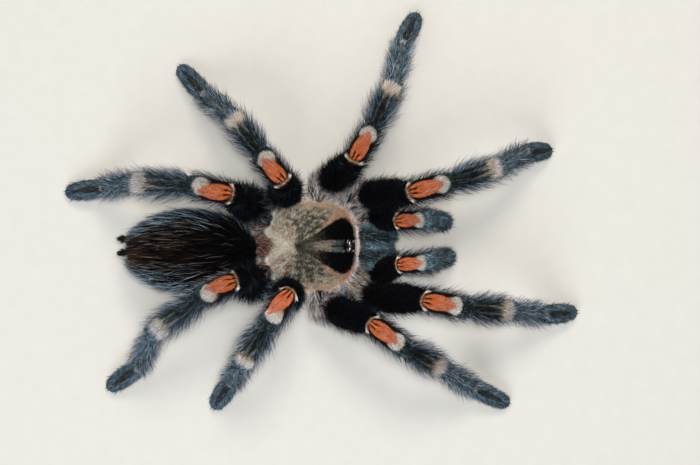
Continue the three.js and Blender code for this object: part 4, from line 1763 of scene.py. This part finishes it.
def eyes_piece(mound_material, lens_material):
    """The dark mound with its eight lenses, in four pairs."""
    at = np.array(EYE_MOUND["at"])
    surfaces = [ellipsoid(at, EYE_MOUND["half"], 16, 32)]
    for lens in LENS_PAIRS:
        for side in (1, -1):
            offset = np.array(lens["at"]) * (1, side, 1)
            surfaces.append(ellipsoid(at + offset, lens["half"], 14, 24))
    made = piece_from("eye_lenses", *joined(surfaces), [mound_material, lens_material])
    mound_faces = len(surfaces[0].mesh()[1])
    slots = [0] * mound_faces + [1] * (len(made.data.polygons) - mound_faces)
    made.data.polygons.foreach_set("material_index", slots)
    return made


def curved_rod(course, radii, rows, columns):
    """A closed rod along a smooth course of points, its radius eased between radii."""
    course = np.array(course, float)
    knots = np.linspace(0, 1, len(course))
    curves = [np.polyfit(knots, course[:, k], 3) for k in range(3)]
    stations = np.linspace(0, 1, len(radii))
    look_ahead, roundness = 0.01, 0.15

    def axis(t):
        return np.stack([np.polyval(c, t) for c in curves], axis=-1)

    def point(u, v):
        t = np.clip(u, 0, 1)
        way = unit(axis(t + look_ahead) - axis(t - look_ahead))
        across = unit(np.cross(way, (0, 1.0, 0.2)))
        back = np.cross(way, across)
        radius = np.interp(t, stations, radii) * np.sin(math.pi * t) ** roundness
        radius = np.where((t <= 0) | (t >= 1), 0, radius)[:, None]
        angle = 2 * math.pi * v[:, None]
        return axis(t) + radius * (across * np.cos(angle) + back * np.sin(angle))

    return Surface("rod", "rod", point, (rows, columns))


def fangs_piece(material):
    """Two hooked fangs, folded back under the chelicerae."""
    surfaces = []
    for side in (1, -1):
        course = [(x, y * side, z) for x, y, z in FANG_COURSE]
        surfaces.append(curved_rod(course, [FANG_RADIUS * k for k in FANG_TAPER], 24, 16))
    return piece_from("fangs", *joined(surfaces), [material])


# ---------------------------------------------------------------- materials


def add_node(tree, kind, settings=None, inputs=None):
    """Adds one node. An input is a plain value, or another node's output to link."""
    made = tree.nodes.new(kind)
    for key, value in (settings or {}).items():
        setattr(made, key, value)
    for key, value in (inputs or {}).items():
        if isinstance(value, bpy.types.NodeSocket):
            tree.links.new(value, made.inputs[key])
        else:
            made.inputs[key].default_value = value
    return made


CLAW_LENGTH = 1.2
CLAW_THICKNESS = 0.11  # this and the next three are shares of the length
CLAW_TIP_HEIGHT = -0.3
CLAW_TIP_THICKNESS = 0.015
CLAW_ARCH = (0.7, 0.0, 0.12)
CLAW_AT = (0.6, 0.3, 0.3)  # ahead of a foot's end, to each side of its middle, and above it


def claw_tree():
    """A hooked claw at each point of a mesh, turned the way the point's "along" says."""
    tree = bpy.data.node_groups.new("hooked_claws", "GeometryNodeTree")
    sockets = {
        "Feet": "Geometry",
        "Length": "Float",
        "Thickness": "Float",
        "Tip Height": "Float",
        "Finish": "Material",
    }
    for name, kind in sockets.items():
        tree.interface.new_socket(name, in_out="INPUT", socket_type=f"NodeSocket{kind}")
    tree.interface.new_socket("Claws", in_out="OUTPUT", socket_type="NodeSocketGeometry")
    given = add_node(tree, "NodeGroupInput").outputs
    tip = add_node(tree, "ShaderNodeCombineXYZ", inputs={"X": 1.0, "Z": given["Tip Height"]})
    hook = add_node(
        tree,
        "GeometryNodeCurveQuadraticBezier",
        inputs={
            "Resolution": 8,
            "Start": (0.0, 0.0, 0.0),
            "Middle": CLAW_ARCH,
            "End": tip.outputs["Vector"],
        },
    )
    run = add_node(tree, "GeometryNodeSplineParameter").outputs["Factor"]
    taper = add_node(
        tree,
        "ShaderNodeMapRange",
        inputs={"Value": run, "To Min": given["Thickness"], "To Max": CLAW_TIP_THICKNESS},
    )
    section = add_node(
        tree, "GeometryNodeCurvePrimitiveCircle", inputs={"Resolution": 8, "Radius": 1.0}
    )
    claw = add_node(
        tree,
        "GeometryNodeCurveToMesh",
        inputs={
            "Curve": hook.outputs["Curve"],
            "Profile Curve": section.outputs["Curve"],
            "Scale": taper.outputs["Result"],
            "Fill Caps": True,
        },
    )
    along = add_node(
        tree, "GeometryNodeInputNamedAttribute", {"data_type": "FLOAT_VECTOR"}, {"Name": "along"}
    )
    turn = add_node(
        tree,
        "FunctionNodeAlignRotationToVector",
        {"axis": "X", "pivot_axis": "Z"},
        {"Vector": along.outputs["Attribute"]},
    )
    claws_on_feet = add_node(
        tree,
        "GeometryNodeInstanceOnPoints",
        inputs={
            "Points": given["Feet"],
            "Instance": claw.outputs["Mesh"],
            "Rotation": turn.outputs["Rotation"],
            "Scale": given["Length"],
        },
    )
    solid = add_node(
        tree,
        "GeometryNodeRealizeInstances",
        inputs={"Geometry": claws_on_feet.outputs["Instances"]},
    )
    finished = add_node(
        tree,
        "GeometryNodeSetMaterial",
        inputs={"Geometry": solid.outputs["Geometry"], "Material": given["Finish"]},
    )
    add_node(tree, "NodeGroupOutput", inputs={"Claws": finished.outputs["Geometry"]})
    return tree


def claws_piece(material):
    """Two small hooked claws at the end of each foot."""
    roots, ways = [], []
    ahead, beside, above = CLAW_AT
    for limb in LIMBS.values():
        tip = limb[-1].facts["end"]
        along = unit((tip - limb[-2].facts["end"]) * (1, 1, 0))
        across = np.cross((0, 0, 1.0), along)
        for side in (1, -1):
            roots.append(tip + along * ahead + across * beside * side + (0, 0, above))
            ways.append(along)
    made = piece_from("claws", roots, [], [])
    attribute = made.data.attributes.new("along", "FLOAT_VECTOR", "POINT")
    attribute.data.foreach_set("vector", np.array(ways, np.float32).ravel())
    tree = claw_tree()
    grow = made.modifiers.new("grow", "NODES")
    grow.node_group = tree
    settings = {
        "Length": CLAW_LENGTH * MM,
        "Thickness": CLAW_THICKNESS,
        "Tip Height": CLAW_TIP_HEIGHT,
        "Finish": material,
    }
    for item in tree.interface.items_tree:
        if item.name in settings:
            grow[item.identifier] = settings[item.name]
    made.update_tag()
    depsgraph = bpy.context.evaluated_depsgraph_get()
    grown = bpy.data.meshes.new_from_object(made.evaluated_get(depsgraph))
    made.modifiers.clear()
    made.data = grown
    grown.name = "claws"
    grown.polygons.foreach_set("use_smooth", [True] * len(grown.polygons))
    return made


def new_material(name, finish):
    """A material with one shader, whose own sockets take the values in finish."""
    material = bpy.data.materials.new(name)
    material.use_nodes = True
    tree = material.node_tree
    tree.nodes.clear()
    shader = add_node(tree, "ShaderNodeBsdfPrincipled", inputs=finish)
    add_node(tree, "ShaderNodeOutputMaterial", inputs={"Surface": shader.outputs[0]})
    return material, tree, shader


def blotches(tree, size_mm, detail=3.0):
    """A pattern on object coordinates, its blotches about size_mm across."""
    place = add_node(tree, "ShaderNodeTexCoord")
    pattern = add_node(
        tree,
        "ShaderNodeTexNoise",
        inputs={
            "Vector": place.outputs["Object"],
            "Scale": 1 / (size_mm * MM),
            "Detail": detail,
            "Roughness": 0.55,
        },
    )
    return pattern.outputs["Fac"]


def tinted(tree, shader, low_level, high_level, size_mm):
    """Base colour from the markings, darker and lighter in blotches between two levels."""
    tint = add_node(tree, "ShaderNodeVertexColor", {"layer_name": "tint"})
    level = add_node(
        tree,
        "ShaderNodeMapRange",
        inputs={
            "Value": blotches(tree, size_mm),
            "From Min": 0.3,
            "From Max": 0.7,
            "To Min": low_level,
            "To Max": high_level,
        },
    )
    scaled = add_node(
        tree,
        "ShaderNodeVectorMath",
        {"operation": "SCALE"},
        {0: tint.outputs["Color"], "Scale": level.outputs["Result"]},
    )
    tree.links.new(scaled.outputs[0], shader.inputs["Base Color"])


def two_toned(name, size_mm, dark, pale, finish, detail=3.0, relief_mm=0.0):
    """A material in blotches of two near colours, which may also stand out in relief."""
    material, tree, shader = new_material(name, finish)
    pattern = blotches(tree, size_mm, detail)
    tones = add_node(
        tree,
        "ShaderNodeMix",
        {"data_type": "RGBA"},
        {0: pattern, 6: (*linear(dark), 1), 7: (*linear(pale), 1)},
    )
    tree.links.new(tones.outputs[2], shader.inputs["Base Color"])
    if relief_mm:
        relief = add_node(
            tree,
            "ShaderNodeBump",
            inputs={"Strength": 0.6, "Distance": relief_mm * MM, "Height": pattern},
        )
        tree.links.new(relief.outputs[0], shader.inputs["Normal"])
    return material


def chitin_hair():
    """Spider hair: fine hollow bristles with little gloss of its own; its blue sheen is painted into
    the markings.
    """
    finish = {"Roughness": 0.6, "Specular IOR Level": 0.05}
    material, tree, shader = new_material("tarantula_hair", finish)
    tinted(tree, shader, 0.82, 1.2, 1.5)
    return material


def spider_skin():
    """Thin leathery skin under the coat, painted dark as the shade between the hair roots, with fine
    pitting.
    """
    finish = {"Roughness": 0.7, "Specular IOR Level": 0.05}
    material, tree, shader = new_material("spider_skin", finish)
    tinted(tree, shader, 0.7, 1.2, 1.0)
    pits = add_node(
        tree,
        "ShaderNodeBump",
        inputs={"Strength": 0.5, "Distance": 0.1 * MM, "Height": blotches(tree, 0.25, 4.0)},
    )
    tree.links.new(pits.outputs[0], shader.inputs["Normal"])
    return material


def eye_lens():
    """A clear cuticle lens over black pigment: wet-looking, with sharp highlights."""
    finish = {
        "Roughness": 0.03,
        "Specular IOR Level": 0.9,
        "Coat Weight": 1.0,
        "Coat Roughness": 0.02,
    }
    return two_toned("eye_lens", 0.6, "#040406", "#15100E", finish)


def eye_mound():
    """Bare black cuticle between the lenses, satin and slightly wrinkled."""
    finish = {"Roughness": 0.22, "Specular IOR Level": 0.25}
    return two_toned("eye_mound_cuticle", 0.2, "#020203", "#0C0A0A", finish, 4.0, 0.06)


def fang_chitin():
    """Hard tanned chitin, polished by wear, black-brown with redder blotches."""
    finish = {"Roughness": 0.18, "Coat Weight": 0.4, "Coat Roughness": 0.1}
    return two_toned("fang_chitin", 1.8, "#080506", "#2E140C", finish, 2.0)


def studio_paper():
    """Matt pale paper under the model, with a faint cloudiness of its fibre."""
    return two_toned("studio_paper", 3.0, "#A5A29B", "#ABA8A1", {"Roughness": 0.9})


# ---------------------------------------------------------------- the model

hair = chitin_hair()
chitin = fang_chitin()
# The skin stands for every solid but the eyes and the fangs, which have pieces of their own.
FLESH = [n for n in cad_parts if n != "eyes" and not n.startswith("fang")]

skin = skin_piece(spider_skin())
eyes = eyes_piece(eye_mound(), eye_lens())
fangs = fangs_piece(chitin)
claws = claws_piece(chitin)
coats = [limb_coat(name, hair, COAT_SEEDS["limbs"] + i) for i, name in enumerate(LIMBS)]
coats += [carapace_coat(hair), abdomen_coat(hair), chelicerae_coat(hair), underside_coat(hair)]

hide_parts(*FLESH)
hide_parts("eyes")
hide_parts("fang_L", "fang_R")
for piece in [skin, eyes, fangs, claws, *coats]:
    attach(piece, "root")

# ---------------------------------------------------------------- studio

FLOOR_REACH = 3.0  # metres, to each side
MIDDLE = CENTRE * MM
# Each lamp's place in metres from the model's middle, its width, power and colour.
LAMPS = {
    "key": ((0.05, 0.35, 0.5), 0.22, 2.2, "#FFF8EE"),
    "fill": ((-0.15, -0.4, 0.4), 0.4, 2.8, "#EAF2FF"),
    "flash": ((0.03, 0.03, 0.6), 0.12, 3.6, "#FFFFFF"),
}


def soft_light(name, away, size, power, colour):
    """A round lamp that faces the model's middle."""
    data = bpy.data.lights.new(name, "AREA")
    data.shape = "DISK"
    data.size = size
    data.energy = power
    data.color = linear(colour)
    lamp = placed(name, data)
    at = MIDDLE + away
    lamp.location = at
    lamp.rotation_euler = Vector(MIDDLE - at).to_track_quat("-Z", "Y").to_euler()


floor_mesh = bpy.data.meshes.new("floor")
corners = [(x * FLOOR_REACH, y * FLOOR_REACH, 0) for x, y in ((-1, -1), (1, -1), (1, 1), (-1, 1))]
floor_mesh.from_pydata(corners, [], [(0, 1, 2, 3)])
floor_mesh.materials.append(studio_paper())
floor = placed("floor", floor_mesh)

world = bpy.data.worlds.new("studio")
world.use_nodes = True
sky = world.node_tree.nodes["Background"]
sky.inputs["Color"].default_value = (*linear("#E8EEF5"), 1)
sky.inputs["Strength"].default_value = 0.35
bpy.context.scene.world = world

for lamp_name, (away, size, power, colour) in LAMPS.items():
    soft_light(lamp_name, away, size, power, colour)

# Straight down from above, with the head to the right.
VIEW_HEIGHT = 450.0  # above the floor
VIEW_WIDTH = 148.3  # of floor, from side to side of the view
VIEW_OFFSET = np.array([7.9, 2.8])  # from the middle of the carapace

camera_data = bpy.data.cameras.new("camera")
camera_data.sensor_width = 36.0
camera_data.lens = camera_data.sensor_width * VIEW_HEIGHT / VIEW_WIDTH
camera = placed("camera", camera_data)
camera.location = (*((CENTRE[:2] + VIEW_OFFSET) * MM), VIEW_HEIGHT * MM)
camera_data.clip_start = 0.01
camera_data.clip_end = 10.0
bpy.context.scene.camera = camera
bpy.context.scene.view_settings.view_transform = "Standard"

bpy.context.view_layer.update()
